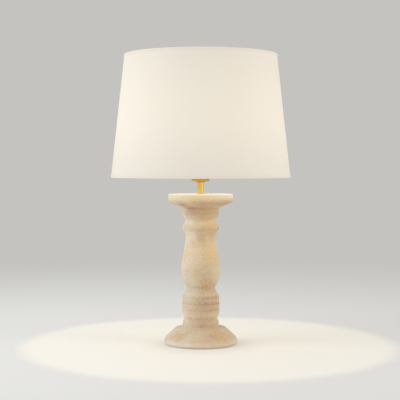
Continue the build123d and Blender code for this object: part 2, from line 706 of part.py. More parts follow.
def bulb_collar():
    """Flared housing of the bulb, plugged into the screw cap and hollow above."""
    plug = BULB_CAP_RADIUS - BULB_CAP_WALL - FIT
    shoulder = BULB_CAP_RADIUS + COLLAR_LIP
    low = (shoulder, BULB_CAP_TOP + COLLAR_NECK)
    high = (GLOBE_SEAT_RADIUS, COLLAR_TOP)
    slope = ((GLOBE_Z - COLLAR_TOP) / GLOBE_RADIUS, GLOBE_SEAT_RADIUS / GLOBE_RADIUS)
    body = turned(
        Line((0, BULB_CAP_TOP - COLLAR_PLUG), (plug, BULB_CAP_TOP - COLLAR_PLUG)),
        Line((plug, BULB_CAP_TOP - COLLAR_PLUG), (plug, BULB_CAP_TOP)),
        Line((plug, BULB_CAP_TOP), (shoulder, BULB_CAP_TOP)),
        Line((shoulder, BULB_CAP_TOP), low),
        Spline(low, high, tangents=((0, 1), slope)),
        Line(high, (0, COLLAR_TOP)),
        Line((0, COLLAR_TOP), (0, BULB_CAP_TOP - COLLAR_PLUG)),
    )
    board_seat = COLLAR_TOP - LED_BOARD_DROP - LED_BOARD_THICKNESS
    body -= disc(GLOBE_SEAT_RADIUS - 2 * COLLAR_WALL, board_seat, COLLAR_TOP)
    return body - disc(plug - COLLAR_WALL, BULB_CAP_TOP - COLLAR_PLUG, board_seat)


def led_board():
    """Round board that carries the light source, seated in the housing."""
    seat = COLLAR_TOP - LED_BOARD_DROP - LED_BOARD_THICKNESS
    return disc(GLOBE_SEAT_RADIUS - 2 * COLLAR_WALL - FIT, seat, seat + LED_BOARD_THICKNESS)


def bulb_diffuser():
    """Opal globe on the housing."""
    shell = Sphere(GLOBE_RADIUS) - Sphere(GLOBE_RADIUS - GLOBE_WALL)
    keep = disc(GLOBE_RADIUS, COLLAR_TOP, GLOBE_Z + GLOBE_RADIUS)
    return (Pos(0, 0, GLOBE_Z) * shell) & keep


def main():
    """Build every piece and write it as a file of its own."""
    os.makedirs("parts", exist_ok=True)
    pad_radius = FOOT_RADIUS - FOOT_SETBACK - PAD_MARGIN
    pieces = {
        "felt_pad": disc(pad_radius, 0, PAD_THICKNESS),
        "column": column(),
        "base_plate": ring(FOOT_HOLLOW_RADIUS - PLAY, ROD_RADIUS + FIT, BASE_PLATE_Z, LEDGE_Z),
        "base_washer": base_washer(),
        "base_nut": base_nut(),
        "threaded_rod": ring(ROD_RADIUS, ROD_BORE, ROD_BOTTOM, BUSH_TOP),
        "cord_grommet": cord_grommet(),
        "neck_tube": ring(NECK_RADIUS, ROD_RADIUS + FIT, COLUMN_TOP, CAP_Z),
        "holder_cap": holder_cap(),
        "cap_bush": cap_bush(),
        "cap_screw": cap_screw(),
        "holder_skirt": holder_skirt(),
        "holder_insert": holder_insert(),
        "holder_liner": ring(
            LINER_SEAT_RADIUS - FIT,
            LINER_SEAT_RADIUS - FIT - LINER_WALL,
            INSERT_TOP,
            THREAD_TOP - LINER_DROP,
        ),
        "terminal_screws": terminal_screws(),
        "screw_shell": screw_shell(),
        "centre_contact": centre_contact(),
        "shell_contact": shell_contact(),
        "lower_ring": lower_ring(),
        "switch_spindle": switch_spindle(),
        "switch_cam": switch_cam(),
        "switch_knob": switch_knob(),
        "clamp_ring": clamp_ring(),
        "shade_cover": shade_cover(),
        "shade_liner": shade_liner(),
        "bottom_ring": wire_ring(SHADE_Z + WIRE_RISE),
        "top_ring": wire_ring(SHADE_TOP - WIRE_RISE),
        "bottom_hem": hem(SHADE_Z, 1),
        "top_hem": hem(SHADE_TOP, -1),
        "shade_carrier": shade_carrier(),
        "spider_arms": spider_arms(),
        "bulb_tip": bulb_tip(),
        "bulb_insulator": bulb_insulator(),
        "bulb_cap": bulb_cap(),
        "bulb_collar": bulb_collar(),
        "led_board": led_board(),
        "bulb_diffuser": bulb_diffuser(),
    }
    for node, shape in pieces.items():
        export_step(shape, f"parts/{node}.step")
    print(len(pieces), "pieces, column top", round(COLUMN_TOP, 2), "shade", round(SHADE_Z, 2), round(SHADE_TOP, 2))


if __name__ == "__main__":
    main()
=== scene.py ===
"""Looks of a table lamp: a turned ceramic column, a brass lampholder with a bulb, and a lit cloth drum shade.

Meshes and finishes are in metres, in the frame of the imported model: +Z is up, the floor is at zero and the
front faces -Y. The sub-assemblies and the ceramic's stains hold their sizes in millimetres.
"""

import logging
import math
from abc import ABC, abstractmethod
from collections.abc import Callable, Mapping, Sequence
from dataclasses import dataclass
from enum import Enum
from typing import Any

import bpy
from mathutils import Matrix, Vector, noise


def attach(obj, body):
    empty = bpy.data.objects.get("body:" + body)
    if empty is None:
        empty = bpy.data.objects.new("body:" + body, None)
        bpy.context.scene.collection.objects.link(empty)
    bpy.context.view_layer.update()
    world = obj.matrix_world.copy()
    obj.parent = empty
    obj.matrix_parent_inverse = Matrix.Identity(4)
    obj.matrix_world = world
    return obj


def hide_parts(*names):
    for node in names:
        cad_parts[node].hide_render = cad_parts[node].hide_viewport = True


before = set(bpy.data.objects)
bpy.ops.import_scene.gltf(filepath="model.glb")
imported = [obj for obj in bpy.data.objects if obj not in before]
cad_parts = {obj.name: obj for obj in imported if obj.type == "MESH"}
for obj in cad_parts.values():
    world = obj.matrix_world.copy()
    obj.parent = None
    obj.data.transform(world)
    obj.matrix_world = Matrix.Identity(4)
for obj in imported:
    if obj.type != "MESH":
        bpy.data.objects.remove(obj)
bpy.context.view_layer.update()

Point = tuple[float, float]
Corner = tuple[float, float, float]
Place = tuple[float, float, float]
Colour = tuple[float, float, float, float]

LOG = logging.getLogger("lamp")
MM = 0.001
TURN = 2 * math.pi
BLACK: Colour = (0.0, 0.0, 0.0, 1.0)
WHITE: Colour = (1.0, 1.0, 1.0, 1.0)
# Heights of the shade's two rims in millimetres
SHADE_LOW, SHADE_TOP = 330.3, 572.1
# Attribute that says how far each point of a mesh is worked
WORKED = "worked"
# Least angle in radians that counts as a corner, and share of the shorter run that a rounding may take
LEAST_TURN, ROUNDED_SHARE = 1e-4, 0.48
# Fewest runs of an arc, least length of a run, and slack when a run is divided
ARC_RUNS, LEAST_RUN, RUN_SLACK = 3, 1e-7, 1e-6
# Distance in metres under which two points are one
WELD_REACH = 1e-6
DRILL_SIDES = 48


def colour(red: int, green: int, blue: int) -> Colour:
    """Turn a colour on the screen's scale of 0 to 255 into the linear one that shaders use.

    Args:
        red: Red on the screen's scale.
        green: Green on the screen's scale.
        blue: Blue on the screen's scale.

    Returns:
        Linear colour with full opacity.
    """

    def linear(level: int) -> float:
        """Linear light of one channel, by the screen's standard curve."""
        share = level / 255
        return share / 12.92 if share <= 0.04045 else ((share + 0.055) / 1.055) ** 2.4

    return linear(red), linear(green), linear(blue), 1.0


def held(share: float) -> float:
    """Keep a share between nought and one."""
    return min(1.0, max(0.0, share))


@dataclass(frozen=True)
class Span:
    """Two values, one for a share of nought and one for a share of one."""

    start: float
    end: float


@dataclass(frozen=True)
class Grain:
    """A noise: lumps to a metre, number and strength of its finer layers, and its squeeze along each axis."""

    scale: float
    detail: float = 2.0
    rough: float = 0.5
    squeeze: Place | None = None


class Axis(Enum):
    """One coordinate of a vector, by its number."""

    X = 0
    Y = 1
    Z = 2


# Node trees


class Wire:
    """One output socket of a node tree. Arithmetic on it adds Math nodes to its tree."""

    def __init__(self, book: "NodeBook", socket: bpy.types.NodeSocket) -> None:
        """Keep the socket and the tree that it belongs to."""
        self.book = book
        self.socket = socket

    def compute(self, operation: str, *terms: Any) -> "Wire":
        """Add a Math node, with numbers or wires in the order of its sockets."""
        return self.book.node("ShaderNodeMath", {"operation": operation}, dict(enumerate(terms)))

    def __add__(self, other: Any) -> "Wire":
        """Sum with a number or wire on the right."""
        return self.compute("ADD", self, other)

    def __radd__(self, other: Any) -> "Wire":
        """Sum with a number on the left."""
        return self.compute("ADD", other, self)

    def __sub__(self, other: Any) -> "Wire":
        """Difference from a number or wire on the right."""
        return self.compute("SUBTRACT", self, other)

    def __rsub__(self, other: Any) -> "Wire":
        """Difference from a number on the left."""
        return self.compute("SUBTRACT", other, self)

    def __mul__(self, other: Any) -> "Wire":
        """Product with a number or wire on the right."""
        return self.compute("MULTIPLY", self, other)

    def __rmul__(self, other: Any) -> "Wire":
        """Product with a number on the left."""
        return self.compute("MULTIPLY", other, self)

    def __truediv__(self, other: Any) -> "Wire":
        """Quotient by a number or wire on the right."""
        return self.compute("DIVIDE", self, other)

    def __rtruediv__(self, other: Any) -> "Wire":
        """Quotient of a number on the left."""
        return self.compute("DIVIDE", other, self)

    def __abs__(self) -> "Wire":
        """Size without its sign."""
        return self.compute("ABSOLUTE", self)

    def sine(self) -> "Wire":
        """Sine of an angle."""
        return self.compute("SINE", self)

    def cosine(self) -> "Wire":
        """Cosine of an angle."""
        return self.compute("COSINE", self)

    def angle_over(self, other: "Wire") -> "Wire":
        """Angle of the direction that goes this far up and the other value across."""
        return self.compute("ARCTAN2", self, other)

    def at_least(self, other: Any) -> "Wire":
        """The greater of two values."""
        return self.compute("MAXIMUM", self, other)

    def between(self, span: Span) -> "Wire":
        """Go from the span's start to its end as this share goes from nought to one."""
        return span.start + (span.end - span.start) * self


class NodeBook:
    """A shader or geometry node tree that is written through one method."""

    def __init__(self, tree: bpy.types.NodeTree) -> None:
        """Start with an empty tree."""
        self.tree = tree
        tree.nodes.clear()

    def node(
        self,
        kind: str,
        settings: Mapping[str, Any] | None = None,
        inputs: Mapping[Any, Any] | None = None,
        output: str | int = 0,
    ) -> Wire:
        """Add a node, set its settings first and then its sockets.

        Args:
            kind: Type name of the node.
            settings: Properties of the node; stops is a list of (position, colour) of a colour ramp.
            inputs: Values or wires by the socket's name or number.
            output: Name or number of the socket that is handed back.

        Returns:
            The chosen output.
        """
        made = self.tree.nodes.new(kind)
        for name, value in (settings or {}).items():
            if name == "stops":
                self._set_stops(made.color_ramp.elements, value)
            else:
                setattr(made, name, value)
        for key, value in (inputs or {}).items():
            if isinstance(value, Wire):
                self.tree.links.new(value.socket, made.inputs[key])
            else:
                made.inputs[key].default_value = value
        return Wire(self, made.outputs[output] if made.outputs else made.inputs[0])

    @staticmethod
    def _set_stops(elements: Any, stops: Sequence[tuple[float, Colour]]) -> None:
        """Set the stops of a colour ramp.

        Args:
            elements: The ramp's elements, two of them at first.
            stops: Positions and colours in order.
        """
        while len(elements) < len(stops):
            elements.new(1.0)
        for element, (position, shade) in zip(elements, stops):
            element.position = position
            element.color = shade

    def place(self) -> Wire:
        """Coordinates on the piece, in metres."""
        return self.node("ShaderNodeTexCoord", output="Object")

    def axis(self, place: Wire, axis: Axis) -> Wire:
        """One coordinate of a vector."""
        return self.node("ShaderNodeSeparateXYZ", {}, {0: place}, axis.value)

    def vector(self, operation: str, *terms: Any, output: int = 0) -> Wire:
        """Add a Vector Math node, whose output is zero for the vector and one for the value."""
        return self.node("ShaderNodeVectorMath", {"operation": operation}, dict(enumerate(terms)), output)

    def distance(self, place: Wire, point: Place) -> Wire:
        """Distance from a point, in metres."""
        return self.vector("DISTANCE", place, point, output=1)

    def blend(self, share: Any, first: Any, second: Any, way: str = "MIX") -> Wire:
        """Blend two colours, by a share of the second one."""
        settings = {"data_type": "RGBA", "blend_type": way, "clamp_factor": True}
        return self.node("ShaderNodeMix", settings, {0: share, 6: first, 7: second}, 2)

    def noise(self, place: Wire, grain: Grain, output: int = 0) -> Wire:
        """Add a noise texture.

        Args:
            place: Coordinates.
            grain: Size and layers of the noise.
            output: Zero for the value, one for the colour.

        Returns:
            The texture's result.
        """
        if grain.squeeze:
            place = self.vector("MULTIPLY", place, grain.squeeze)
        inputs = {"Vector": place, "Scale": grain.scale, "Detail": grain.detail, "Roughness": grain.rough}
        return self.node("ShaderNodeTexNoise", {}, inputs, output)

    def ease(self, value: Any, span: Span) -> Wire:
        """Ease from nought at the span's start to one at its end."""
        inputs = {0: value, 1: span.start, 2: span.end, 3: 0.0, 4: 1.0}
        return self.node("ShaderNodeMapRange", {"interpolation_type": "SMOOTHSTEP"}, inputs)

    def bump(self, height: Wire, depth: float, strength: float) -> Wire:
        """Bend the normal by a relief whose height of one is the depth in metres."""
        return self.node("ShaderNodeBump", {}, {"Strength": strength, "Distance": depth, "Height": height})


# Finishes


@dataclass(frozen=True)
class Finish(ABC):
    """A surface finish, made into a material when it is first used."""

    name: str

    def material(self) -> bpy.types.Material:
        """Hand out the finish's one material.

        Returns:
            The material.
        """
        found = bpy.data.materials.get(self.name)
        if found:
            return found
        made = bpy.data.materials.new(self.name)
        made.use_nodes = True
        book = NodeBook(made.node_tree)
        surface = book.node("ShaderNodeBsdfPrincipled", {}, self.paint(book))
        book.node("ShaderNodeOutputMaterial", {}, {"Surface": surface})
        return made

    @abstractmethod
    def paint(self, book: NodeBook) -> dict[str, Any]:
        """Lay the finish's nodes.

        Args:
            book: The material's tree.

        Returns:
            Values and wires of the surface shader's sockets.
        """


@dataclass(frozen=True)
class Stain:
    """A soft patch on the ceramic: its centre and reach in millimetres, and its strength."""

    centre: Place
    reach: float
    strength: float


@dataclass(frozen=True)
class Band:
    """A soft line round the column: its height and reach in millimetres, and its strength."""

    level: float
    reach: float
    strength: float


@dataclass(frozen=True)
class ClayMarks:
    """Coordinates, noises and masks that several layers of the ceramic share."""

    place: Wire
    bent: Wire
    height: Wire
    side: Wire
    patch: Wire
    drag: Wire
    grain: Wire
    speck: Wire
    # Painted light: how much paler the left side is, as light falls on it
    painted_light_side: Wire
    # How low the place is, for painted shade and for dust
    worn: Wire
    # Painted light on the top plate's side and on its top face
    painted_lit_plate: Wire
    painted_lit_top: Wire


@dataclass(frozen=True)
class SandyCeramic(Finish):
    """Matt unglazed ceramic: sandy, porous, blotched and dusty in streaks, with painted light and painted
    shade.
    """

    pale: Colour
    sand: Colour
    brown: Colour
    rose: Colour
    ochre: Colour
    dust: Colour
    umber: Colour
    # Colours of painted light on the top plate and in painted highlights
    cream: Colour
    chalk: Colour
    # Colour of painted light on the foot's lower edge
    painted_foot_light: Colour
    # Colour of painted shade on the lower half
    painted_low_shade: Colour
    ochre_stains: tuple[Stain, ...]
    # Dust patches and lines; some are painted shade under the top plate and on the foot
    dust_and_shade_stains: tuple[Stain, ...]
    dust_and_shade_lines: tuple[Band, ...]
    # Painted highlights: lines on slopes where light falls
    painted_highlight_lines: tuple[Band, ...]
    # Noises
    drift: Grain = Grain(38.0, 3.0, 0.55)
    drift_reach: Place = (0.022, 0.022, 0.012)
    cloud: Grain = Grain(17.0, 3.0)
    patch: Grain = Grain(70.0, 5.0, 0.6)
    drag: Grain = Grain(28.0, 4.0, 0.6, (1.0, 1.0, 6.0))
    grain: Grain = Grain(430.0, 3.0, 0.65)
    blush: Grain = Grain(34.0, 4.0, 0.6)
    fleck: Grain = Grain(1350.0)
    crowd: Grain = Grain(90.0)
    pore_scale: float = 330.0
    # Shares of cloud, patch and drag in the mottling, and of grain and patch in the specks
    mottle: Place = (0.6, 0.25, 0.15)
    speck_mix: Point = (0.75, 0.25)
    # Ranges of noise
    toned: Span = Span(0.30, 0.76)
    specked: Span = Span(0.44, 0.62)
    blushed: Span = Span(0.46, 0.66)
    flecked: Span = Span(0.6, 0.76)
    pitted: Span = Span(0.3, 0.12)
    crowded: Span = Span(0.42, 0.66)
    # Ranges of distance: along x, from the belly's level, and in height
    # Painted light: the left side is paler, as light falls on it
    painted_light_side: Span = Span(10.0 * MM, -44.0 * MM)
    # Painted light: the top plate's two ends are paler
    painted_lit_ends: Span = Span(20.0 * MM, 60.0 * MM)
    belly_level: float = 180.0 * MM
    belly: Span = Span(42.0 * MM, 0.0)
    # Painted light on the top plate: its side, then its top face
    painted_lit_plate: Span = Span(283.0 * MM, 296.0 * MM)
    painted_lit_top: Span = Span(296.3 * MM, 297.1 * MM)
    # Painted light: the foot's lower edge is paler
    painted_foot_edge: Span = Span(16.0 * MM, 3.0 * MM)
    # Painted shade: darker towards the bottom, as less light reaches the lower half
    worn: Span = Span(190.0 * MM, 95.0 * MM)
    streak_wander: float = 5.0 * MM
    # How much paler the side with painted light and the belly are
    painted_light_lift: float = 0.3
    belly_lift: float = 0.07
    # Share of each layer's colour
    blush_share: float = 0.38
    cream_share: float = 0.85
    lit_ends_share: float = 0.55
    chalk_share: float = 0.95
    low_shade_share: float = 0.34
    highlight_chalk: float = 0.7
    speck_share: float = 0.25
    fleck_share: float = 0.25
    pore_share: float = 0.55
    # Ochre over the whole stain, on its patches and on its specks
    ochre_mix: Place = (0.15, 0.9, 0.7)
    # Shares that go with how much light is painted on the place's side
    rubbed: Span = Span(0.6, 1.0)
    patch_dust: Span = Span(1.0, 0.55)
    painted_foot_share: Span = Span(0.45, 0.65)
    # Shares that go with how low the place is, where painted shade lies and dust changes
    dust_even: Span = Span(0.62, 0.28)
    dust_grain: Span = Span(0.45, 1.1)
    streak_loss: Span = Span(0.4, 0.8)
    # How far streaks come and go along their way
    streak_break: Span = Span(0.4, 1.6)
    # What the top plate's side, where light is painted, lacks in specks and pores
    lit_plate_specks: float = 0.7
    lit_plate_pores: float = 0.6
    rough: Span = Span(0.78, 0.94)
    # Relief of grain, patches and pores
    relief: Place = (0.25, 0.2, 0.5)
    relief_depth: float = 0.35 * MM

    def paint(self, book: NodeBook) -> dict[str, Any]:
        """Lay the clay's tones, painted light on the top plate, dust with painted light and shade, and then
        specks, flecks and pores.

        Args:
            book: The material's tree.

        Returns:
            Values and wires of the surface shader's sockets.
        """
        marks = self._marks(book)
        base = self._dust_and_painted_light(book, marks, self._top(book, marks, self._tones(book, marks)))
        # Fewer specks and pores where light is painted on the plate's side
        lit_plate_side = marks.painted_lit_plate * (1.0 - marks.painted_lit_top)
        specks = self.speck_share * marks.speck * (1.0 - self.lit_plate_specks * lit_plate_side)
        base = book.blend(specks, base, self.dust)
        fleck = book.ease(book.noise(marks.place, self.fleck), self.flecked)
        base = book.blend(self.fleck_share * fleck, base, self.pale)
        pores = self._pores(book, marks.place) * (1.0 - self.lit_plate_pores * lit_plate_side)
        base = book.blend(self.pore_share * pores, base, self.brown, "MULTIPLY")
        grain_part, patch_part, pore_part = self.relief
        relief = grain_part * marks.grain + patch_part * marks.patch - pore_part * pores
        return {
            "Base Color": base,
            "Roughness": marks.grain.between(self.rough),
            "Specular IOR Level": 0.25,
            "Sheen Weight": 0.1,
            "Sheen Roughness": 0.5,
            "Normal": book.bump(relief, self.relief_depth, strength=0.6),
        }

    def _marks(self, book: NodeBook) -> ClayMarks:
        """Lay the coordinates, noises and masks that several layers share.

        Args:
            book: The material's tree.

        Returns:
            The shared wires.
        """
        place = book.place()
        drift = book.vector("SUBTRACT", book.noise(place, self.drift, output=1), (0.5, 0.5, 0.5))
        bent = book.vector("MULTIPLY_ADD", drift, self.drift_reach, place)
        height, side = book.axis(place, Axis.Z), book.axis(bent, Axis.X)
        patch, grain = book.noise(bent, self.patch), book.noise(place, self.grain)
        grain_part, patch_part = self.speck_mix
        return ClayMarks(
            place=place,
            bent=bent,
            height=height,
            side=side,
            patch=patch,
            drag=book.noise(bent, self.drag),
            grain=grain,
            speck=book.ease(grain_part * grain + patch_part * patch, self.specked),
            painted_light_side=book.ease(side, self.painted_light_side),
            worn=book.ease(height, self.worn),
            painted_lit_plate=book.ease(height, self.painted_lit_plate),
            painted_lit_top=book.ease(height, self.painted_lit_top),
        )

    def _tones(self, book: NodeBook, marks: ClayMarks) -> Wire:
        """Lay the clay's clouds, with rose and ochre in them.

        Args:
            book: The material's tree.
            marks: The shared wires.

        Returns:
            The colour of plain clay.
        """
        cloud_part, patch_part, drag_part = self.mottle
        cloud = book.noise(marks.bent, self.cloud)
        mottled = cloud_part * cloud + patch_part * marks.patch + drag_part * marks.drag
        belly = book.ease(abs(marks.height - self.belly_level), self.belly)
        tone = book.ease(mottled + self.painted_light_lift * marks.painted_light_side + self.belly_lift * belly, self.toned)
        stops = [(0.0, self.brown), (0.5, self.sand), (1.0, self.pale)]
        base = book.node("ShaderNodeValToRGB", {"stops": stops}, {0: tone})
        blush = book.ease(book.noise(marks.bent, self.blush), self.blushed)
        base = book.blend(self.blush_share * blush, base, self.rose)
        whole, patches, specks = self.ochre_mix
        uneven = whole + patches * marks.patch + specks * marks.speck
        return book.blend(self._stains(book, marks, self.ochre_stains) * uneven, base, self.ochre)

    def _top(self, book: NodeBook, marks: ClayMarks, base: Wire) -> Wire:
        """Lay painted light on the top plate: cream on its side, and chalk on its ends and top face.

        Args:
            book: The material's tree.
            marks: The shared wires.
            base: Colour under it.

        Returns:
            The new colour.
        """
        # Painted light: the top plate's side, its two ends and its top face are lit
        painted_lit_ends = book.ease(abs(marks.side), self.painted_lit_ends)
        plate = book.blend(self.lit_ends_share * painted_lit_ends, self.cream, self.chalk)
        base = book.blend(self.cream_share * marks.painted_lit_plate, base, plate)
        return book.blend(self.chalk_share * marks.painted_lit_top, base, self.chalk)

    def _dust_and_painted_light(self, book: NodeBook, marks: ClayMarks, base: Wire) -> Wire:
        """Lay painted shade on the lower half, painted highlight lines, dusty patches and streaks that hold
        painted shade, and painted light on the foot's lower edge.

        Args:
            book: The material's tree.
            marks: The shared wires.
            base: Colour under it.

        Returns:
            The new colour.
        """
        # Painted shade on the lower half
        base = book.blend(self.low_shade_share * marks.worn, base, self.painted_low_shade)
        # Painted highlights along lines, stronger on the side with painted light
        rubbed = self._streaks(book, marks, self.painted_highlight_lines) * marks.painted_light_side.between(self.rubbed)
        base = book.blend(rubbed, base, book.blend(self.highlight_chalk * marks.painted_light_side, self.cream, self.chalk))
        # Dust patches and streaks, some of them painted shade under the top plate and on the foot
        grainy = marks.worn.between(self.dust_even) + marks.worn.between(self.dust_grain) * marks.speck
        patches = self._stains(book, marks, self.dust_and_shade_stains) * marks.painted_light_side.between(self.patch_dust)
        left = 1.0 - marks.worn.between(self.streak_loss) * marks.painted_light_side
        streaks = self._streaks(book, marks, self.dust_and_shade_lines) * left
        base = book.blend((patches + streaks) * grainy, base, book.blend(marks.worn, self.umber, self.dust))
        # Painted light: the foot's lower edge is paler, more so on the lit side
        painted_foot_edge = book.ease(marks.height, self.painted_foot_edge) * marks.painted_light_side.between(self.painted_foot_share)
        return book.blend(painted_foot_edge, base, self.painted_foot_light)

    @staticmethod
    def _stains(book: NodeBook, marks: ClayMarks, stains: Sequence[Stain]) -> Wire:
        """Add up soft patches.

        Args:
            book: The material's tree.
            marks: The shared wires.
            stains: The patches.

        Returns:
            Share of the stain's colour.
        """
        total: Any = 0.0
        for stain in stains:
            away = book.distance(marks.bent, tuple(MM * part for part in stain.centre))
            total = total + stain.strength * book.ease(away, Span(stain.reach * MM, 0.0))
        return total

    def _streaks(self, book: NodeBook, marks: ClayMarks, lines: Sequence[Band]) -> Wire:
        """Lay streaks round the column, broken along their way.

        Args:
            book: The material's tree.
            marks: The shared wires.
            lines: The streaks.

        Returns:
            Share of the streaks' colour.
        """
        wander = marks.height + self.streak_wander * (marks.drag - 0.5)
        total: Any = 0.0
        for line in lines:
            away = abs(wander - line.level * MM)
            total = total + line.strength * book.ease(away, Span(line.reach * MM, 0.0))
        return total * marks.drag.between(self.streak_break)

    def _pores(self, book: NodeBook, place: Wire) -> Wire:
        """Scatter small pits, more in some places than in others.

        Args:
            book: The material's tree.
            place: Coordinates.

        Returns:
            One inside a pit and nought outside.
        """
        cell = book.node("ShaderNodeTexVoronoi", {"feature": "F1"}, {"Vector": place, "Scale": self.pore_scale})
        crowd = book.ease(book.noise(place, self.crowd), self.crowded)
        return book.ease(cell, self.pitted) * crowd


@dataclass(frozen=True)
class LampCloth(Finish):
    """Fine plain-woven cloth with slubs, with a painted glow for the bulb's light that comes through from
    behind.
    """

    thread: Colour
    slub: Colour
    glow: Colour
    pitch: float = 0.85 * MM
    weft_slub: Grain = Grain(42.0, 3.0, 0.6, (1.0, 22.0, 1.0))
    warp_slub: Grain = Grain(42.0, 3.0, 0.6, (22.0, 1.0, 1.0))
    fibre: Grain = Grain(2600.0)
    weft_part: float = 0.6
    slubbed: Span = Span(0.46, 0.7)
    # Shares of slubs and weave in the colour, and of slubs in the shade
    slub_share: float = 0.35
    weave_share: float = 0.12
    slub_shade: float = 0.08
    # Light by height, from nought at the lower rim to one at the upper
    brighter: Span = Span(-0.25, 0.5)
    dimmer: Span = Span(1.5, 0.5)
    lit: Span = Span(0.45, 1.0)
    rough: Span = Span(0.86, 0.96)
    # Relief of weave, slubs and fibres
    relief: Place = (0.55, 0.35, 0.1)
    relief_depth: float = 0.12 * MM

    def paint(self, book: NodeBook) -> dict[str, Any]:
        """Lay the weave, its slubs and the light that comes through.

        Args:
            book: The material's tree.

        Returns:
            Values and wires of the surface shader's sockets.
        """
        spread = book.node("ShaderNodeTexCoord", output="UV")
        warp = (book.axis(spread, Axis.X) * (math.pi / self.pitch)).sine()
        weft = (book.axis(spread, Axis.Y) * (math.pi / self.pitch)).sine()
        weave = 0.5 + 0.25 * (abs(warp) + abs(weft)) * warp * weft + 0.25 * abs(warp) * abs(weft)
        slubs = self.weft_part * book.noise(spread, self.weft_slub)
        thick = book.ease(slubs + (1 - self.weft_part) * book.noise(spread, self.warp_slub), self.slubbed)
        fibre = book.noise(spread, self.fibre)
        base = book.blend(self.slub_share * thick + self.weave_share * weave, self.thread, self.slub)
        shaded = self._lit(book) * (1.0 - self.slub_shade * thick)
        weave_part, slub_part, fibre_part = self.relief
        relief = weave_part * weave + slub_part * thick + fibre_part * fibre
        return {
            "Base Color": base,
            "Roughness": fibre.between(self.rough),
            "Specular IOR Level": 0.2,
            "Sheen Weight": 0.12,
            "Sheen Roughness": 0.5,
            "Emission Color": book.blend(shaded, BLACK, self.glow),
            "Emission Strength": 1.0,
            "Normal": book.bump(relief, self.relief_depth, strength=0.55),
        }

    def _lit(self, book: NodeBook) -> Wire:
        """Painted glow of the bulb's light, brightest round the bulb's height.

        Args:
            book: The material's tree.

        Returns:
            Share of the full glow.
        """
        height = book.axis(book.place(), Axis.Z)
        level = (height - SHADE_LOW * MM) / ((SHADE_TOP - SHADE_LOW) * MM)
        return (book.ease(level, self.brighter) * book.ease(level, self.dimmer)).between(self.lit)


class Scratches(Enum):
    """Which way a metal's fine scratches run: round its axis, or along it."""

    TURNED = Grain(240.0, 4.0, 0.65, (1.0, 1.0, 60.0))
    DRAWN = Grain(240.0, 4.0, 0.65, (40.0, 40.0, 1.0))


@dataclass(frozen=True)
class Metal(Finish):
    """Bare or lacquered metal with fine scratches and dull patches."""

    bright: Colour
    dull: Colour
    rough: float
    scratches: Scratches = Scratches.TURNED
    lacquer: float = 0.0
    patch: Grain = Grain(120.0, 4.0, 0.6)
    dulled: Span = Span(0.44, 0.74)
    # Shares of dull patches and of scratches, in the colour and in the roughness
    colour_mix: Point = (0.55, 0.12)
    rough_mix: Point = (0.1, 0.14)
    scratch_depth: float = 0.02 * MM

    def paint(self, book: NodeBook) -> dict[str, Any]:
        """Lay scratches, dull patches and an uneven polish.

        Args:
            book: The material's tree.

        Returns:
            Values and wires of the surface shader's sockets.
        """
        place = book.place()
        scratch = book.noise(place, self.scratches.value)
        dulled = book.ease(book.noise(place, self.patch), self.dulled)
        (dull_tint, scratch_tint), (dull_rough, scratch_rough) = self.colour_mix, self.rough_mix
        return {
            "Base Color": book.blend(dull_tint * dulled + scratch_tint * scratch, self.bright, self.dull),
            "Metallic": 1.0,
            "Roughness": self.rough + scratch_rough * scratch + dull_rough * dulled,
            "Coat Weight": self.lacquer,
            "Coat Roughness": 0.12,
            "Normal": book.bump(scratch, self.scratch_depth, strength=0.5),
        }


@dataclass(frozen=True)
class Moulding(Finish):
    """Moulded plastic or rubber with a fine spark texture and rubbed spots."""

    body: Colour
    rubbed: Colour
    rough: float
    relief: float = 0.04 * MM
    spark: Grain = Grain(1900.0, 2.0, 0.6)
    spots: Grain = Grain(160.0, 5.0, 0.62)
    worn: Span = Span(0.5, 0.75)
    # Shares of rubbed spots and of the spark texture, in the colour and in the roughness
    colour_mix: Point = (0.6, 0.1)
    rough_mix: Point = (0.08, 0.12)

    def paint(self, book: NodeBook) -> dict[str, Any]:
        """Lay the mould's texture and rubbed spots.

        Args:
            book: The material's tree.

        Returns:
            Values and wires of the surface shader's sockets.
        """
        place = book.place()
        spark = book.noise(place, self.spark)
        wear = book.ease(book.noise(place, self.spots), self.worn)
        (wear_tint, spark_tint), (wear_polish, spark_rough) = self.colour_mix, self.rough_mix
        return {
            "Base Color": book.blend(wear_tint * wear + spark_tint * spark, self.body, self.rubbed),
            "Roughness": self.rough + spark_rough * spark - wear_polish * wear,
            "Specular IOR Level": 0.4,
            "Normal": book.bump(spark, self.relief, strength=0.6),
        }


@dataclass(frozen=True)
class Enamel(Finish):
    """Baked white paint on wire, a little wavy, with rubbed places where metal shows."""

    coat: Colour
    metal: Colour
    wave: Grain = Grain(420.0)
    dust: Grain = Grain(60.0, 5.0, 0.6)
    chips: Grain = Grain(210.0, 4.0, 0.7)
    chipped: Span = Span(0.71, 0.75)
    rough: float = 0.3
    dust_rough: float = 0.15
    chip_rough: float = 0.15
    dust_share: float = 0.18
    chip_metal: float = 0.9
    chip_depth: float = 0.6
    relief_depth: float = 0.06 * MM

    def paint(self, book: NodeBook) -> dict[str, Any]:
        """Lay the paint's waves, its dust and its chips.

        Args:
            book: The material's tree.

        Returns:
            Values and wires of the surface shader's sockets.
        """
        place = book.place()
        wave, dust = book.noise(place, self.wave), book.noise(place, self.dust)
        chip = book.ease(book.noise(place, self.chips), self.chipped)
        base = book.blend(self.dust_share * dust, self.coat, self.metal)
        return {
            "Base Color": book.blend(chip, base, self.metal),
            "Metallic": self.chip_metal * chip,
            "Roughness": self.rough + self.dust_rough * dust + self.chip_rough * chip,
            "Coat Weight": 0.3,
            "Coat Roughness": 0.15,
            "Normal": book.bump(wave - self.chip_depth * chip, self.relief_depth, strength=0.5),
        }


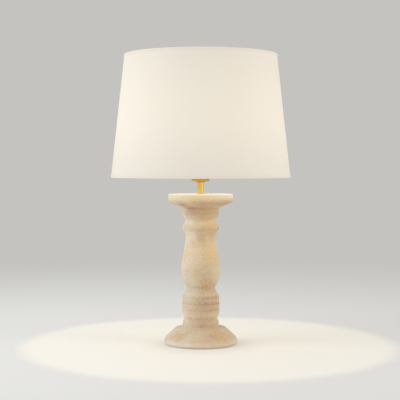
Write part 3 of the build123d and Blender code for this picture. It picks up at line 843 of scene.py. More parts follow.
@dataclass(frozen=True)
class Felt(Finish):
    """Pressed felt: matted fibres of mixed tones."""

    dark: Colour
    light: Colour
    drift: Grain = Grain(300.0, 3.0, 0.6)
    drift_reach: Place = (0.006, 0.006, 0.006)
    fibre: Grain = Grain(420.0, 4.0, 0.7, (1.0, 6.0, 6.0))
    cross: Grain = Grain(420.0, 4.0, 0.7, (6.0, 1.0, 6.0))
    pale: Span = Span(0.35, 0.68)
    rough: Span = Span(0.9, 1.0)
    relief_depth: float = 0.3 * MM

    def paint(self, book: NodeBook) -> dict[str, Any]:
        """Lay matted fibres that cross each other.

        Args:
            book: The material's tree.

        Returns:
            Values and wires of the surface shader's sockets.
        """
        place = book.place()
        bent = book.vector("MULTIPLY_ADD", book.noise(place, self.drift, output=1), self.drift_reach, place)
        fibre = book.noise(bent, self.fibre)
        matted = 0.5 * fibre + 0.5 * book.noise(bent, self.cross)
        return {
            "Base Color": book.blend(book.ease(matted, self.pale), self.dark, self.light),
            "Roughness": fibre.between(self.rough),
            "Specular IOR Level": 0.1,
            "Sheen Weight": 0.3,
            "Sheen Roughness": 0.6,
            "Normal": book.bump(matted, self.relief_depth, strength=0.8),
        }


@dataclass(frozen=True)
class LitSheet(Finish):
    """White lining or opal plastic with an emitted glow: the bulb's own light on the opal, painted light from
    the bulb on the lining.
    """

    body: Colour
    mark: Colour
    glow: Colour
    # Heights where the glow starts and ends its rise, and its shares there
    rise: Span
    lit: Span
    rough: float
    mottle: Grain = Grain(75.0, 5.0, 0.6)
    fine: Grain = Grain(900.0)
    mark_share: float = 0.3
    mottle_rough: float = 0.12
    flicker: Span = Span(0.94, 1.06)
    relief_depth: float = 0.02 * MM

    def paint(self, book: NodeBook) -> dict[str, Any]:
        """Lay faint marks and a glow that grows with height.

        Args:
            book: The material's tree.

        Returns:
            Values and wires of the surface shader's sockets.
        """
        place = book.place()
        mottle = book.noise(place, self.mottle)
        lit = book.ease(book.axis(place, Axis.Z), self.rise).between(self.lit)
        return {
            "Base Color": book.blend(self.mark_share * mottle, self.body, self.mark),
            "Roughness": self.rough + self.mottle_rough * mottle,
            "Emission Color": book.blend(lit * mottle.between(self.flicker), BLACK, self.glow),
            "Emission Strength": 1.0,
            "Normal": book.bump(book.noise(place, self.fine), self.relief_depth, strength=0.4),
        }


@dataclass(frozen=True)
class SeamlessFloor(Finish):
    """Plain pale floor that turns into the grey of the wall far away, with a painted round pool of the lamp's
    light.
    """

    # Body is the floor's colour on its left, where light is painted; faint is its colour elsewhere
    body: Colour
    faint: Colour
    wall: Colour
    pool: Colour
    # A painted pool of the lamp's light, with a painted shadow round the foot
    pool_centre: Place = (0.016, -0.014, 0.0)
    pool_rim: Span = Span(0.391, 0.339)
    dim_centre: Place = (0.0, -0.022, 0.0)
    dim_rim: Span = Span(0.064, 0.128)
    dim: Span = Span(0.35, 1.0)
    # Painted light: the floor is paler towards the left
    painted_lit_left: Span = Span(0.5, -0.48)
    distant: Span = Span(0.33, 2.0)
    mottle: Grain = Grain(3.0, 4.0)
    mottle_wander: float = 0.1
    fine: Grain = Grain(500.0)
    rough: Span = Span(0.62, 0.72)

    def paint(self, book: NodeBook) -> dict[str, Any]:
        """Lay painted light on the left side, a painted pool of the lamp's light with painted shadow round the
        foot, and the change to the wall's grey.

        Args:
            book: The material's tree.

        Returns:
            Values and wires of the surface shader's sockets.
        """
        place = book.place()
        wander = self.mottle_wander * (book.noise(place, self.mottle) - 0.5)
        # Painted light on the floor's left side
        painted_lit_left = book.ease(book.axis(place, Axis.X) + wander, self.painted_lit_left)
        distant = book.ease(book.vector("LENGTH", place, output=1), self.distant)
        # Painted pool of light, dimmed by a painted shadow round the foot
        inside = book.ease(book.distance(place, self.pool_centre), self.pool_rim)
        outside_painted_shadow = book.ease(book.distance(place, self.dim_centre), self.dim_rim).between(self.dim)
        lit = book.blend(inside * outside_painted_shadow, BLACK, self.pool)
        return {
            "Base Color": book.blend(distant, book.blend(painted_lit_left, self.faint, self.body), BLACK),
            "Roughness": book.noise(place, self.fine).between(self.rough),
            "Specular IOR Level": 0.0,
            "Emission Color": book.blend(distant, lit, self.wall),
            "Emission Strength": 1.0,
        }


CERAMIC = SandyCeramic(
    name="finish_ceramic",
    pale=colour(240, 228, 206),
    sand=colour(233, 211, 175),
    brown=colour(216, 186, 148),
    rose=colour(223, 190, 160),
    ochre=colour(239, 196, 118),
    dust=colour(182, 150, 120),
    umber=colour(186, 141, 101),
    # Colours of painted light on the top plate and in painted highlights
    cream=colour(251, 232, 196),
    chalk=colour(255, 254, 249),
    # Colour of painted light on the foot's lower edge
    painted_foot_light=colour(246, 235, 218),
    # Colour of painted shade on the lower half
    painted_low_shade=colour(197, 179, 157),
    ochre_stains=(
        Stain((36, -51, 26), 33, 1.0),
        Stain((33, -35, 37), 15, 0.8),
        Stain((58, -34, 18), 24, 0.4),
        Stain((-48, -44, 26), 32, 0.6),
        Stain((28, -22, 98), 18, 0.5),
        Stain((14, -28, 118), 18, 0.4),
        Stain((27, -23, 182), 34, 0.58),
        Stain((-6, -34, 196), 40, 0.25),
        Stain((16, -32, 238), 22, 0.5),
        Stain((-28, -22, 180), 18, 0.3),
        Stain((-20, 30, 150), 34, 0.6),
        Stain((44, 50, 24), 34, 0.6),
        Stain((-30, 22, 236), 24, 0.5),
    ),
    # Dust patches; some, under the top plate and on the foot, are painted shade
    dust_and_shade_stains=(
        Stain((6, -36, 84), 28, 0.5),
        Stain((30, -22, 86), 24, 0.3),
        Stain((8, -32, 114), 26, 0.3),
        Stain((26, -22, 118), 22, 0.3),
        Stain((8, -38, 131), 30, 0.3),
        Stain((-26, -28, 138), 30, 0.35),
        Stain((2, -34, 212), 24, 0.5),
        Stain((24, -24, 219), 18, 0.5),
        Stain((0, -36, 266), 32, 0.68),
        Stain((-28, -30, 269), 30, 0.95),
        Stain((26, -30, 268), 26, 0.25),
        Stain((-30, -42, 284), 16, 0.45),
        Stain((8, -34, 42), 28, 0.25),
        Stain((20, -56, 26), 34, 0.35),
        Stain((-44, -46, 26), 30, 0.25),
        Stain((-22, -48, 32), 26, 0.35),
        Stain((38, -50, 26), 22, 0.35),
        Stain((-16, 34, 76), 32, 0.6),
        Stain((20, 34, 205), 34, 0.5),
        Stain((0, 38, 264), 40, 0.7),
    ),
    # Dust lines; the two just under the top plate's flare are painted shade
    dust_and_shade_lines=(
        Band(39.5, 6, 0.22),
        Band(48.0, 7, 0.2),
        Band(70.2, 4, 0.8),
        Band(82.2, 4.4, 1.0),
        Band(94.2, 3.6, 0.5),
        Band(114.0, 10, 0.2),
        Band(228.0, 6, 0.3),
        Band(270.0, 3, 0.4),
        Band(279.5, 9, 0.65),
    ),
    # Painted highlights on three slopes of the column
    painted_highlight_lines=(Band(58.0, 6, 0.6), Band(101.0, 5, 0.3), Band(242.0, 8, 0.9)),
)
SHADE_CLOTH = LampCloth(
    name="finish_shade_cloth",
    thread=colour(232, 227, 219),
    slub=colour(226, 219, 208),
    glow=(0.24, 0.203, 0.14, 1.0),
)
HEM_CLOTH = LampCloth(
    name="finish_hem_cloth",
    thread=colour(231, 226, 217),
    slub=colour(222, 213, 199),
    glow=(0.23, 0.185, 0.115, 1.0),
)
LINING = LitSheet(
    name="finish_lining",
    body=colour(240, 238, 232),
    mark=colour(226, 221, 210),
    glow=(0.23, 0.188, 0.115, 1.0),
    rise=Span(0.30, 0.43),
    lit=Span(0.6, 1.0),
    rough=0.45,
)
OPAL = LitSheet(
    name="finish_opal",
    body=colour(238, 234, 224),
    mark=colour(228, 222, 208),
    glow=(0.40, 0.345, 0.245, 1.0),
    rise=Span(0.408, 0.436),
    lit=Span(0.55, 1.0),
    rough=0.4,
)
BRASS = Metal("finish_brass", colour(255, 222, 124), colour(242, 194, 88), rough=0.26, lacquer=0.15)
# A darker copy of the brass, painted shade for the cap under the lampshade
SHADED_CAP_BRASS = Metal("finish_cap_brass", colour(210, 172, 96), colour(190, 144, 66), rough=0.32)
SPRING_BRASS = Metal(
    "finish_spring_brass", colour(228, 196, 128), colour(176, 142, 84), rough=0.34, scratches=Scratches.DRAWN
)
STEEL = Metal("finish_plated_steel", colour(196, 198, 196), colour(150, 148, 140), rough=0.32)
DRAWN_ALUMINIUM = Metal(
    "finish_drawn_aluminium", colour(214, 214, 214), colour(176, 174, 170), rough=0.3, scratches=Scratches.DRAWN
)
DARK_MOULDING = Moulding("finish_dark_moulding", colour(44, 42, 40), colour(84, 80, 76), rough=0.5)
KNOB_MOULDING = Moulding("finish_knob_moulding", colour(36, 33, 32), colour(70, 66, 62), rough=0.34)
RUBBER = Moulding("finish_rubber", colour(52, 47, 42), colour(92, 86, 78), rough=0.68, relief=0.08 * MM)
WHITE_HOUSING = Moulding("finish_white_housing", colour(236, 236, 232), colour(214, 212, 205), rough=0.4)
BOARD = Moulding("finish_board", colour(232, 232, 226), colour(206, 206, 198), rough=0.45)
WIRE_ENAMEL = Enamel("finish_wire_enamel", colour(236, 234, 228), colour(166, 164, 158))
FELT = Felt("finish_felt", colour(204, 186, 163), colour(226, 210, 188))
FLOOR = SeamlessFloor(
    name="finish_floor",
    body=colour(247, 246, 243),
    faint=colour(241, 240, 237),
    wall=colour(196, 195, 191),
    # Colour of the painted pool of light
    pool=(0.148, 0.118, 0.062, 1.0),
)


# Shapes


def rounded(corners: Sequence[Corner], step: float) -> list[Point]:
    """Draw a line through corners, each with its rounding as an arc kept within its two runs.

    Args:
        corners: (radius, height, rounding) in order; the two ends aren't rounded.
        step: Greatest distance between neighbouring points.

    Returns:
        Points along the line.
    """
    points = [Vector(corner[:2]) for corner in corners]
    line = [points[0]]
    for before, here, after, (_, _, rounding) in zip(points, points[1:], points[2:], corners[1:]):
        line += arc(before, here, after, rounding, step)
    line.append(points[-1])
    return spaced(line, step)


def arc(before: Vector, here: Vector, after: Vector, rounding: float, step: float) -> list[Vector]:
    """Round one corner of a line.

    Args:
        before: Corner before it.
        here: The corner.
        after: Corner after it.
        rounding: Radius of the arc, made smaller where the runs are too short for it.
        step: Greatest distance between neighbouring points.

    Returns:
        Points of the arc, or the corner itself where it isn't rounded.
    """
    back, on = before - here, after - here
    shorter = min(back.length, on.length)
    back.normalize()
    on.normalize()
    turn = math.pi - math.acos(max(-1.0, min(1.0, back.dot(on))))
    if rounding <= 0 or turn < LEAST_TURN:
        return [here]
    reach = min(rounding * math.tan(turn / 2), ROUNDED_SHARE * shorter)
    radius = reach / math.tan(turn / 2)
    middle = here + (back + on).normalized() * (radius / math.cos(turn / 2))
    first, last = here + back * reach - middle, here + on * reach - middle
    runs = max(ARC_RUNS, math.ceil(radius * turn / step))
    shares = [index / runs for index in range(runs + 1)]
    return [
        middle + (first * math.sin((1 - share) * turn) + last * math.sin(share * turn)) / math.sin(turn)
        for share in shares
    ]


def spaced(line: Sequence[Vector], step: float) -> list[Point]:
    """Add points on long runs of a line.

    Args:
        line: Points in order.
        step: Greatest distance between neighbouring points.

    Returns:
        The line's points and the added ones.
    """
    full = [tuple(line[0])]
    for start, end in zip(line, line[1:]):
        run = (end - start).length
        if run < LEAST_RUN:
            continue
        parts = max(1, math.ceil(run / step - RUN_SLACK))
        full.extend(tuple(start.lerp(end, part / parts)) for part in range(1, parts + 1))
    return full


def even_angles(count: int) -> list[float]:
    """Angles of a full turn in equal steps."""
    return [TURN * index / count for index in range(count)]


def put_in_scene(name: str, data: bpy.types.ID) -> bpy.types.Object:
    """Make an object of a mesh, light or camera, and link it into the scene.

    Args:
        name: Name of the object.
        data: What it shows.

    Returns:
        The new object.
    """
    made = bpy.data.objects.new(name, data)
    bpy.context.scene.collection.objects.link(made)
    return made


def lathe(
    name: str,
    outline: Sequence[Point],
    angles: Sequence[float],
    looped: bool = True,
    shift: Callable[[float, float, float], Point] | None = None,
    weights: Sequence[float] | None = None,
) -> bpy.types.Object:
    """Turn an outline in millimetres about the lamp's axis into a mesh and UV map in metres.

    Args:
        name: Name of the piece.
        outline: (radius, height) points, counter-clockwise, so that faces point outwards.
        angles: Angles round the axis, rising.
        looped: Whether the outline closes on itself; if not, it starts and ends on the axis.
        shift: Moves a point, from its radius, height and angle to its new radius and height.
        weights: A value for each point of the outline, kept as the attribute worked.

    Returns:
        The new object.
    """
    turns, rows = len(angles), len(outline)
    verts = []
    for radius, height in outline:
        for angle in angles:
            r, z = shift(radius, height, angle) if shift else (radius, height)
            verts.append((r * MM * math.cos(angle), r * MM * math.sin(angle), z * MM))
    reach = [0.0]
    for here, after in zip(outline, [*outline[1:], outline[0]]):
        reach.append(reach[-1] + math.dist(here, after) * MM)
    girth = sum(radius for radius, _ in outline) / rows * MM
    edges = [*angles, angles[0] + TURN]
    faces, spread = [], []
    for row in range(rows if looped else rows - 1):
        low, high = row * turns, (row + 1) % rows * turns
        for turn in range(turns):
            after = (turn + 1) % turns
            faces.append((low + turn, low + after, high + after, high + turn))
            left, right = edges[turn] * girth, edges[turn + 1] * girth
            spread += [left, reach[row], right, reach[row], right, reach[row + 1], left, reach[row + 1]]
    mesh = bpy.data.meshes.new(name)
    mesh.from_pydata(verts, [], faces)
    mesh.uv_layers.new(name="UVMap").data.foreach_set("uv", spread)
    if weights is not None:
        worked = mesh.attributes.new(WORKED, "FLOAT", "POINT")
        worked.data.foreach_set("value", [weight for weight in weights for _ in angles])
    piece = put_in_scene(name, mesh)
    if not looped:
        merge_points(piece)
    return piece


def merge_points(piece: bpy.types.Object) -> None:
    """Merge points that lie on each other, as on a lathe's axis or along a cut.

    Args:
        piece: Object whose mesh is mended.
    """
    weld = piece.modifiers.new("weld", "WELD")
    weld.merge_threshold = WELD_REACH
    bake(piece)


def bake(piece: bpy.types.Object) -> None:
    """Turn a piece and its modifiers into a plain mesh.

    Args:
        piece: Object that is baked.
    """
    graph = bpy.context.evaluated_depsgraph_get()
    graph.update()
    mesh = bpy.data.meshes.new_from_object(
        piece.evaluated_get(graph), preserve_all_data_layers=True, depsgraph=graph
    )
    piece.modifiers.clear()
    old, piece.data = piece.data, mesh
    bpy.data.meshes.remove(old)
    mesh.name = piece.name


def smooth(piece: bpy.types.Object, crease: float) -> None:
    """Shade a piece smooth, but sharp along edges that bend by more than the crease angle in degrees."""
    piece.data.shade_smooth()
    piece.data.set_sharp_from_angle(angle=math.radians(crease))


def drill(piece: bpy.types.Object, steps: Sequence[Point], towards: Place, height: float) -> None:
    """Drill a stepped hole into a piece, level and outwards from the lamp's axis.

    Args:
        piece: Object that is drilled.
        steps: (radius, distance from the axis) of the hole's outline in millimetres, from its inner end.
        towards: Direction of the hole.
        height: Height of the hole's middle in millimetres.
    """
    outline = [(0.0, steps[0][1]), *steps, (0.0, steps[-1][1])]
    bit = lathe("bit", outline, even_angles(DRILL_SIDES), looped=False)
    turn = Vector((0, 0, 1)).rotation_difference(Vector(towards)).to_matrix().to_4x4()
    bit.data.transform(Matrix.Translation((0, 0, height * MM)) @ turn)
    cut = piece.modifiers.new("hole", "BOOLEAN")
    cut.operation, cut.solver, cut.object = "DIFFERENCE", "EXACT", bit
    bake(piece)
    merge_points(piece)
    shape = bit.data
    bpy.data.objects.remove(bit)
    bpy.data.meshes.remove(shape)


# Geometry trees


class FormTree(ABC):
    """A geometry node tree with named inputs, applied to a piece and then baked into its mesh."""

    label = "form"
    sockets: Mapping[str, str] = {}

    def __init__(self) -> None:
        """Build the tree with its named inputs."""
        self.group = bpy.data.node_groups.new(self.label, "GeometryNodeTree")
        face = self.group.interface
        inputs = {"Geometry": "Geometry", **self.sockets, "Material": "Material"}
        for name, kind in inputs.items():
            face.new_socket(name, in_out="INPUT", socket_type=f"NodeSocket{kind}")
        face.new_socket("Geometry", in_out="OUTPUT", socket_type="NodeSocketGeometry")
        book = NodeBook(self.group)
        entry = book.tree.nodes.new("NodeGroupInput")
        given = {socket.name: Wire(book, socket) for socket in entry.outputs if socket.name}
        made = self.draw(book, given)
        made = book.node("GeometryNodeSetShadeSmooth", {}, {"Geometry": made})
        made = book.node("GeometryNodeRealizeInstances", {}, {"Geometry": made})
        made = book.node("GeometryNodeSetMaterial", {}, {"Geometry": made, "Material": given["Material"]})
        book.node("NodeGroupOutput", {}, {"Geometry": made})

    @abstractmethod
    def draw(self, book: NodeBook, given: Mapping[str, Wire]) -> Wire:
        """Lay the tree's nodes.

        Args:
            book: The tree.
            given: The tree's inputs by name.

        Returns:
            The finished geometry.
        """

    @staticmethod
    def push(book: NodeBook, shape: Wire, way: Wire, distance: Wire) -> Wire:
        """Move each point of a shape, as far as its attribute worked lets it.

        Args:
            book: The tree.
            shape: Geometry that is moved.
            way: Direction of each point.
            distance: Distance of each point.

        Returns:
            The moved geometry.
        """
        worked = book.node("GeometryNodeInputNamedAttribute", {"data_type": "FLOAT"}, {"Name": WORKED})
        inputs = {0: way, "Scale": distance * worked}
        offset = book.node("ShaderNodeVectorMath", {"operation": "SCALE"}, inputs)
        return book.node("GeometryNodeSetPosition", {}, {"Geometry": shape, "Offset": offset})

    def apply(self, piece: bpy.types.Object, finish: Finish, **sizes: float) -> bpy.types.Object:
        """Set the inputs, run the tree on a piece and keep the result as its mesh.

        Args:
            piece: Object that the tree runs on.
            finish: Finish of the result.
            sizes: Values of the named inputs, with underscores for spaces.

        Returns:
            The same object.
        """
        form = piece.modifiers.new(self.label, "NODES")
        form.node_group = self.group
        values = {name.replace("_", " "): value for name, value in sizes.items()}
        values["Material"] = finish.material()
        for item in self.group.interface.items_tree:
            if item.item_type == "SOCKET" and item.in_out == "INPUT" and item.name in values:
                form[item.identifier] = values[item.name]
        bake(piece)
        return piece

    def make(self, name: str, finish: Finish, **sizes: float) -> bpy.types.Object:
        """Make a piece from nothing but the tree's inputs."""
        return self.apply(put_in_scene(name, bpy.data.meshes.new(name)), finish, **sizes)


class HandWorked(FormTree):
    """Swells, chatter and turning marks that a hand leaves on clay."""

    label = "hand worked surface"
    sockets = {
        "Swell": "Float", "Swell Scale": "Float",
        "Chatter": "Float", "Chatter Scale": "Float",
        "Mark": "Float", "Mark Scale": "Float",
        "Seed": "Float",
    }
    details: Mapping[str, float] = {"Swell": 1.0, "Chatter": 3.0, "Mark": 2.0}

    def draw(self, book: NodeBook, given: Mapping[str, Wire]) -> Wire:
        """Move each point along its normal by three noises.

        Args:
            book: The tree.
            given: The tree's inputs by name.

        Returns:
            The worked geometry.
        """
        place = book.node("GeometryNodeInputPosition")
        rings = book.node("ShaderNodeCombineXYZ", {}, {2: book.axis(place, Axis.Z)})

        def lump(name: str, where: Wire) -> Wire:
            """One of the noises, as high above nought as below it.

            Args:
                name: Name of its input.
                where: Coordinates.

            Returns:
                The noise's height.
            """
            scale, detail = given[f"{name} Scale"], self.details[name]
            inputs = {"Vector": where, "W": given["Seed"], "Scale": scale, "Detail": detail}
            layer = book.node("ShaderNodeTexNoise", {"noise_dimensions": "4D"}, inputs)
            return (layer * 2.0 - 1.0) * given[name]

        rise = lump("Swell", place) + lump("Chatter", place) + lump("Mark", rings)
        return self.push(book, given["Geometry"], book.node("GeometryNodeInputNormal"), rise)


class RolledThread(FormTree):
    """A round screw thread, rolled into a thin wall."""

    label = "rolled thread"
    sockets = {"Pitch": "Float", "Depth": "Float"}

    def draw(self, book: NodeBook, given: Mapping[str, Wire]) -> Wire:
        """Draw each point towards the axis by a wave that climbs one pitch a turn.

        Args:
            book: The tree.
            given: The tree's inputs by name.

        Returns:
            The threaded geometry.
        """
        place = book.node("GeometryNodeInputPosition")
        x, y, z = (book.axis(place, axis) for axis in Axis)
        wave = (z / given["Pitch"] * TURN - y.angle_over(x)).cosine()
        inwards = (wave - 1.0) * 0.5 * given["Depth"]
        outwards = book.vector("NORMALIZE", book.node("ShaderNodeCombineXYZ", {}, {0: x, 1: y}))
        return self.push(book, given["Geometry"], outwards, inwards)


class CutThread(FormTree):
    """A sharp thread: a ridge that climbs round a cylinder."""

    label = "cut thread"
    sockets = {"Radius": "Float", "Pitch": "Float", "Turns": "Float", "Ridge": "Float", "Start": "Float"}
    steps_a_turn = 72
    ridge_sides = 4

    def draw(self, book: NodeBook, given: Mapping[str, Wire]) -> Wire:
        """Sweep a ridge along a helix.

        Args:
            book: The tree.
            given: The tree's inputs by name.

        Returns:
            The ridge.
        """
        radius, turns = given["Radius"], given["Turns"]
        climb = {
            "Resolution": self.steps_a_turn, "Rotations": turns, "Start Radius": radius, "End Radius": radius,
            "Height": given["Pitch"] * turns,
        }
        helix = book.node("GeometryNodeCurveSpiral", {}, climb)
        level = book.node("GeometryNodeSetCurveNormal", {"mode": "Z_UP"}, {"Curve": helix})
        outline = {"Resolution": self.ridge_sides, "Radius": given["Ridge"]}
        ridge = book.node("GeometryNodeCurvePrimitiveCircle", {}, outline)
        sweep = {"Curve": level, "Profile Curve": ridge, "Fill Caps": True}
        swept = book.node("GeometryNodeCurveToMesh", {}, sweep)
        lift = book.node("ShaderNodeCombineXYZ", {}, {2: given["Start"]})
        return book.node("GeometryNodeTransform", {}, {"Geometry": swept, "Translation": lift})


class RibShape(Enum):
    """What stands in a ring: an upright bar, or a round bead."""

    BAR = "GeometryNodeMeshCylinder"
    BEAD = "GeometryNodeMeshIcoSphere"


class RingOfRibs(FormTree):
    """Small bars or beads in a ring round the lamp's axis."""

    sockets = {
        "Count": "Int", "Radius": "Float", "Level": "Float", "First Angle": "Float",
        "Size": "Float", "Length": "Float",
    }
    bar_sides = 8
    bead_detail = 2

    def __init__(self, shape: RibShape) -> None:
        """Build the tree for one shape of rib.

        Args:
            shape: What is repeated.
        """
        self.shape = shape
        self.label = f"ring of {shape.name.lower()}s"
        super().__init__()

    def draw(self, book: NodeBook, given: Mapping[str, Wire]) -> Wire:
        """Set a shape on each point of a circle.

        Args:
            book: The tree.
            given: The tree's inputs by name.

        Returns:
            The ring of instances.
        """
        outline = {"Vertices": given["Count"], "Radius": given["Radius"]}
        circle = book.node("GeometryNodeMeshCircle", {}, outline)
        lift = book.node("ShaderNodeCombineXYZ", {}, {2: given["Level"]})
        turn = book.node("ShaderNodeCombineXYZ", {}, {2: given["First Angle"]})
        stand = {"Geometry": circle, "Translation": lift, "Rotation": turn}
        ring = book.node("GeometryNodeTransform", {}, stand)
        sizes: dict[str, Any] = {"Radius": given["Size"]}
        if self.shape is RibShape.BAR:
            sizes |= {"Vertices": self.bar_sides, "Depth": given["Length"]}
        else:
            sizes["Subdivisions"] = self.bead_detail
        rib = book.node(self.shape.value, {}, sizes)
        return book.node("GeometryNodeInstanceOnPoints", {}, {"Points": ring, "Instance": rib})


# Sub-assemblies


def dress(piece: bpy.types.Object, finish: Finish) -> None:
    """Give a piece one finish all over.

    Args:
        piece: Object that is dressed.
        finish: Its finish.
    """
    made = finish.material()
    if not piece.data.materials:
        piece.data.materials.append(made)
    for slot in piece.material_slots:
        slot.material = made


class SubAssembly(ABC):
    """A group of the lamp's pieces that are built and dressed together."""

    @abstractmethod
    def build(self) -> list[bpy.types.Object]:
        """Make the group's own pieces and let them ride.

        Returns:
            The new pieces.
        """

    @abstractmethod
    def node_finishes(self) -> dict[str, Finish]:
        """Finishes of the solids that are kept, by node."""

    def dress_nodes(self) -> None:
        """Dress the solids that are kept."""
        for node, finish in self.node_finishes().items():
            dress(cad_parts[node], finish)

    @staticmethod
    def settle(piece: bpy.types.Object, body: str, slot: str, *stands_for: str) -> bpy.types.Object:
        """Let a piece ride on a body, and hide the nodes that it stands for.

        Args:
            piece: The finished piece.
            body: Body that it moves with.
            slot: Material slot of the record; not used.
            stands_for: Nodes that it replaces.

        Returns:
            The same piece.
        """
        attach(piece, body)
        if stands_for:
            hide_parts(*stands_for)
        return piece

    def complete(
        self, piece: bpy.types.Object, finish: Finish, crease: float, body: str, slot: str, *stands_for: str
    ) -> bpy.types.Object:
        """Shade and dress a piece, and settle it.

        Args:
            piece: The piece.
            finish: Its finish.
            crease: Angle in degrees from which an edge stays sharp.
            body: Body that it moves with.
            slot: Material slot of the record; not used.
            stands_for: Nodes that it replaces.

        Returns:
            The same piece.
        """
        smooth(piece, crease)
        dress(piece, finish)
        return self.settle(piece, body, slot, *stands_for)


@dataclass
class TurnedColumn(SubAssembly):
    """Ceramic column: foot, bead, banded drum, vase, ring, band and flared top plate."""

    corners: tuple[Corner, ...] = (
        (70.6, 2.0, 1.5), (73.4, 6.0, 8.0), (69.2, 14.6, 4.0), (50.0, 32.4, 4.0), (35.7, 35.6, 1.5),
        (35.7, 44.5, 4.0), (32.2, 52.0, 1.5), (37.1, 60.8, 4.0), (36.95, 71.9, 4.0), (36.15, 73.7, 4.0),
        (36.95, 75.5, 4.0), (36.81, 83.8, 4.0), (36.01, 85.6, 4.0), (36.81, 87.4, 4.0), (36.7, 94.8, 4.0),
        (27.6, 111.6, 1.5), (37.0, 126.5, 60.0), (39.2, 151.0, 60.0), (28.8, 213.5, 20.0), (36.5, 229.6, 4.0),
        (36.5, 232.8, 4.0), (29.3, 246.1, 4.0), (36.3, 256.5, 4.0), (36.3, 270.8, 7.0), (64.2, 282.0, 8.0),
        (64.2, 297.5, 1.5),
    )
    rod_hole: float = 5.3
    bore: float = 20.0
    bore_top: float = 262.0
    hollow: float = 56.0
    ledge: float = 20.0
    cord_level: float = 10.0
    cord_hole: tuple[Point, ...] = ((4.8, 50.0), (4.8, 67.0), (6.3, 67.0), (6.3, 80.0))
    step: float = 1.25
    sides: int = 184
    crease: float = 50.0
    # Heights of the hand's marks, and how many there are to a metre
    swell: float = 0.28
    swell_scale: float = 21.0
    chatter: float = 0.08
    chatter_scale: float = 95.0
    mark: float = 0.1
    mark_scale: float = 210.0
    seed: float = 3.0
    # The marks set in over this height of the foot, and between these radii of the top face
    worked_foot: float = 3.0
    worked_top: Point = (8.0, 28.0)
    top_slack: float = 0.05

    def build(self) -> list[bpy.types.Object]:
        """Turn the column, work its surface and drill the cord hole.

        Returns:
            The column.
        """
        foot, top = self.corners[0][1], self.corners[-1][1]
        outer = [(self.hollow, foot, 0.0), *self.corners, (self.rod_hole, top, 0.0)]
        skin = rounded(outer, self.step)
        inside = [
            (self.rod_hole, self.bore_top), (self.bore, self.bore_top),
            (self.bore, self.ledge), (self.hollow, self.ledge),
        ]
        weights = [self._worked(radius, height) for radius, height in skin] + [0.0] * len(inside)
        piece = lathe("column_body", [*skin, *inside], even_angles(self.sides), weights=weights)
        HandWorked().apply(
            piece, CERAMIC, Swell=self.swell * MM, Swell_Scale=self.swell_scale, Chatter=self.chatter * MM,
            Chatter_Scale=self.chatter_scale, Mark=self.mark * MM, Mark_Scale=self.mark_scale, Seed=self.seed,
        )
        drill(piece, self.cord_hole, (0, 1, 0), self.cord_level)
        smooth(piece, self.crease)
        return [self.settle(piece, "base", "ceramic", "column")]

    def _worked(self, radius: float, height: float) -> float:
        """How far the surface is worked: not where the column stands, nor round the rod.

        Args:
            radius: Radius of the point.
            height: Height of the point.

        Returns:
            Share of the working.
        """
        foot, top = self.corners[0][1], self.corners[-1][1]
        share = held((height - foot) / self.worked_foot)
        if height > top - self.top_slack:
            start, end = self.worked_top
            share *= held((radius - start) / (end - start))
        return share

    def node_finishes(self) -> dict[str, Finish]:
        """Nothing is kept from the solids."""
        return {}


@dataclass
class FootFittings(SubAssembly):
    """Felt pad, cord bush, and the plate, washer, nut and rod inside the foot."""

    pad_radius: float = 70.0
    pad_height: float = 2.0
    pad_edge: float = 0.7
    # Points are dense on the rim, and elsewhere one ring stays for each gap
    step: float = 0.35
    rim_width: float = 3.0
    ring_gap: float = 6.0
    sides: int = 240
    crease: float = 60.0
    # Depth of the uneven rim, share of the radius where it starts, and its lumps round and up the rim
    fuzz: float = 0.25
    fuzz_from: float = 0.97
    lumps_round: float = 40.0
    lumps_up: float = 0.9

    def build(self) -> list[bpy.types.Object]:
        """Make the felt pad with a soft uneven edge.

        Returns:
            The pad.
        """
        corners = [
            (0.0, 0.0, 0.0), (self.pad_radius, 0.0, self.pad_edge),
            (self.pad_radius, self.pad_height, self.pad_edge), (0.0, self.pad_height, 0.0),
        ]
        first, *line, last = rounded(corners, self.step)
        rim = self.pad_radius - self.rim_width
        kept = [point for point in line if point[0] > rim or point[0] % self.ring_gap < self.step]
        outline = [first, *kept, last]
        piece = lathe("felt_disc", outline, even_angles(self.sides), looped=False, shift=self._fuzzy)
        self.complete(piece, FELT, self.crease, "base", "felt", "felt_pad")
        return [piece]

    def _fuzzy(self, radius: float, height: float, angle: float) -> Point:
        """Draw the rim in unevenly.

        Args:
            radius: Radius of the point.
            height: Height of the point.
            angle: Angle of the point.

        Returns:
            Its new radius and height.
        """
        around = math.cos(angle) * self.lumps_round, math.sin(angle) * self.lumps_round
        lump = abs(noise.noise(Vector((*around, height * self.lumps_up))))
        rim = held((radius / self.pad_radius - self.fuzz_from) / (1 - self.fuzz_from))
        return radius - lump * self.fuzz * rim, height

    def node_finishes(self) -> dict[str, Finish]:
        """Steel fittings and the rubber bush."""
        steel = ("base_plate", "base_washer", "base_nut", "threaded_rod")
        return {node: STEEL for node in steel} | {"cord_grommet": RUBBER}


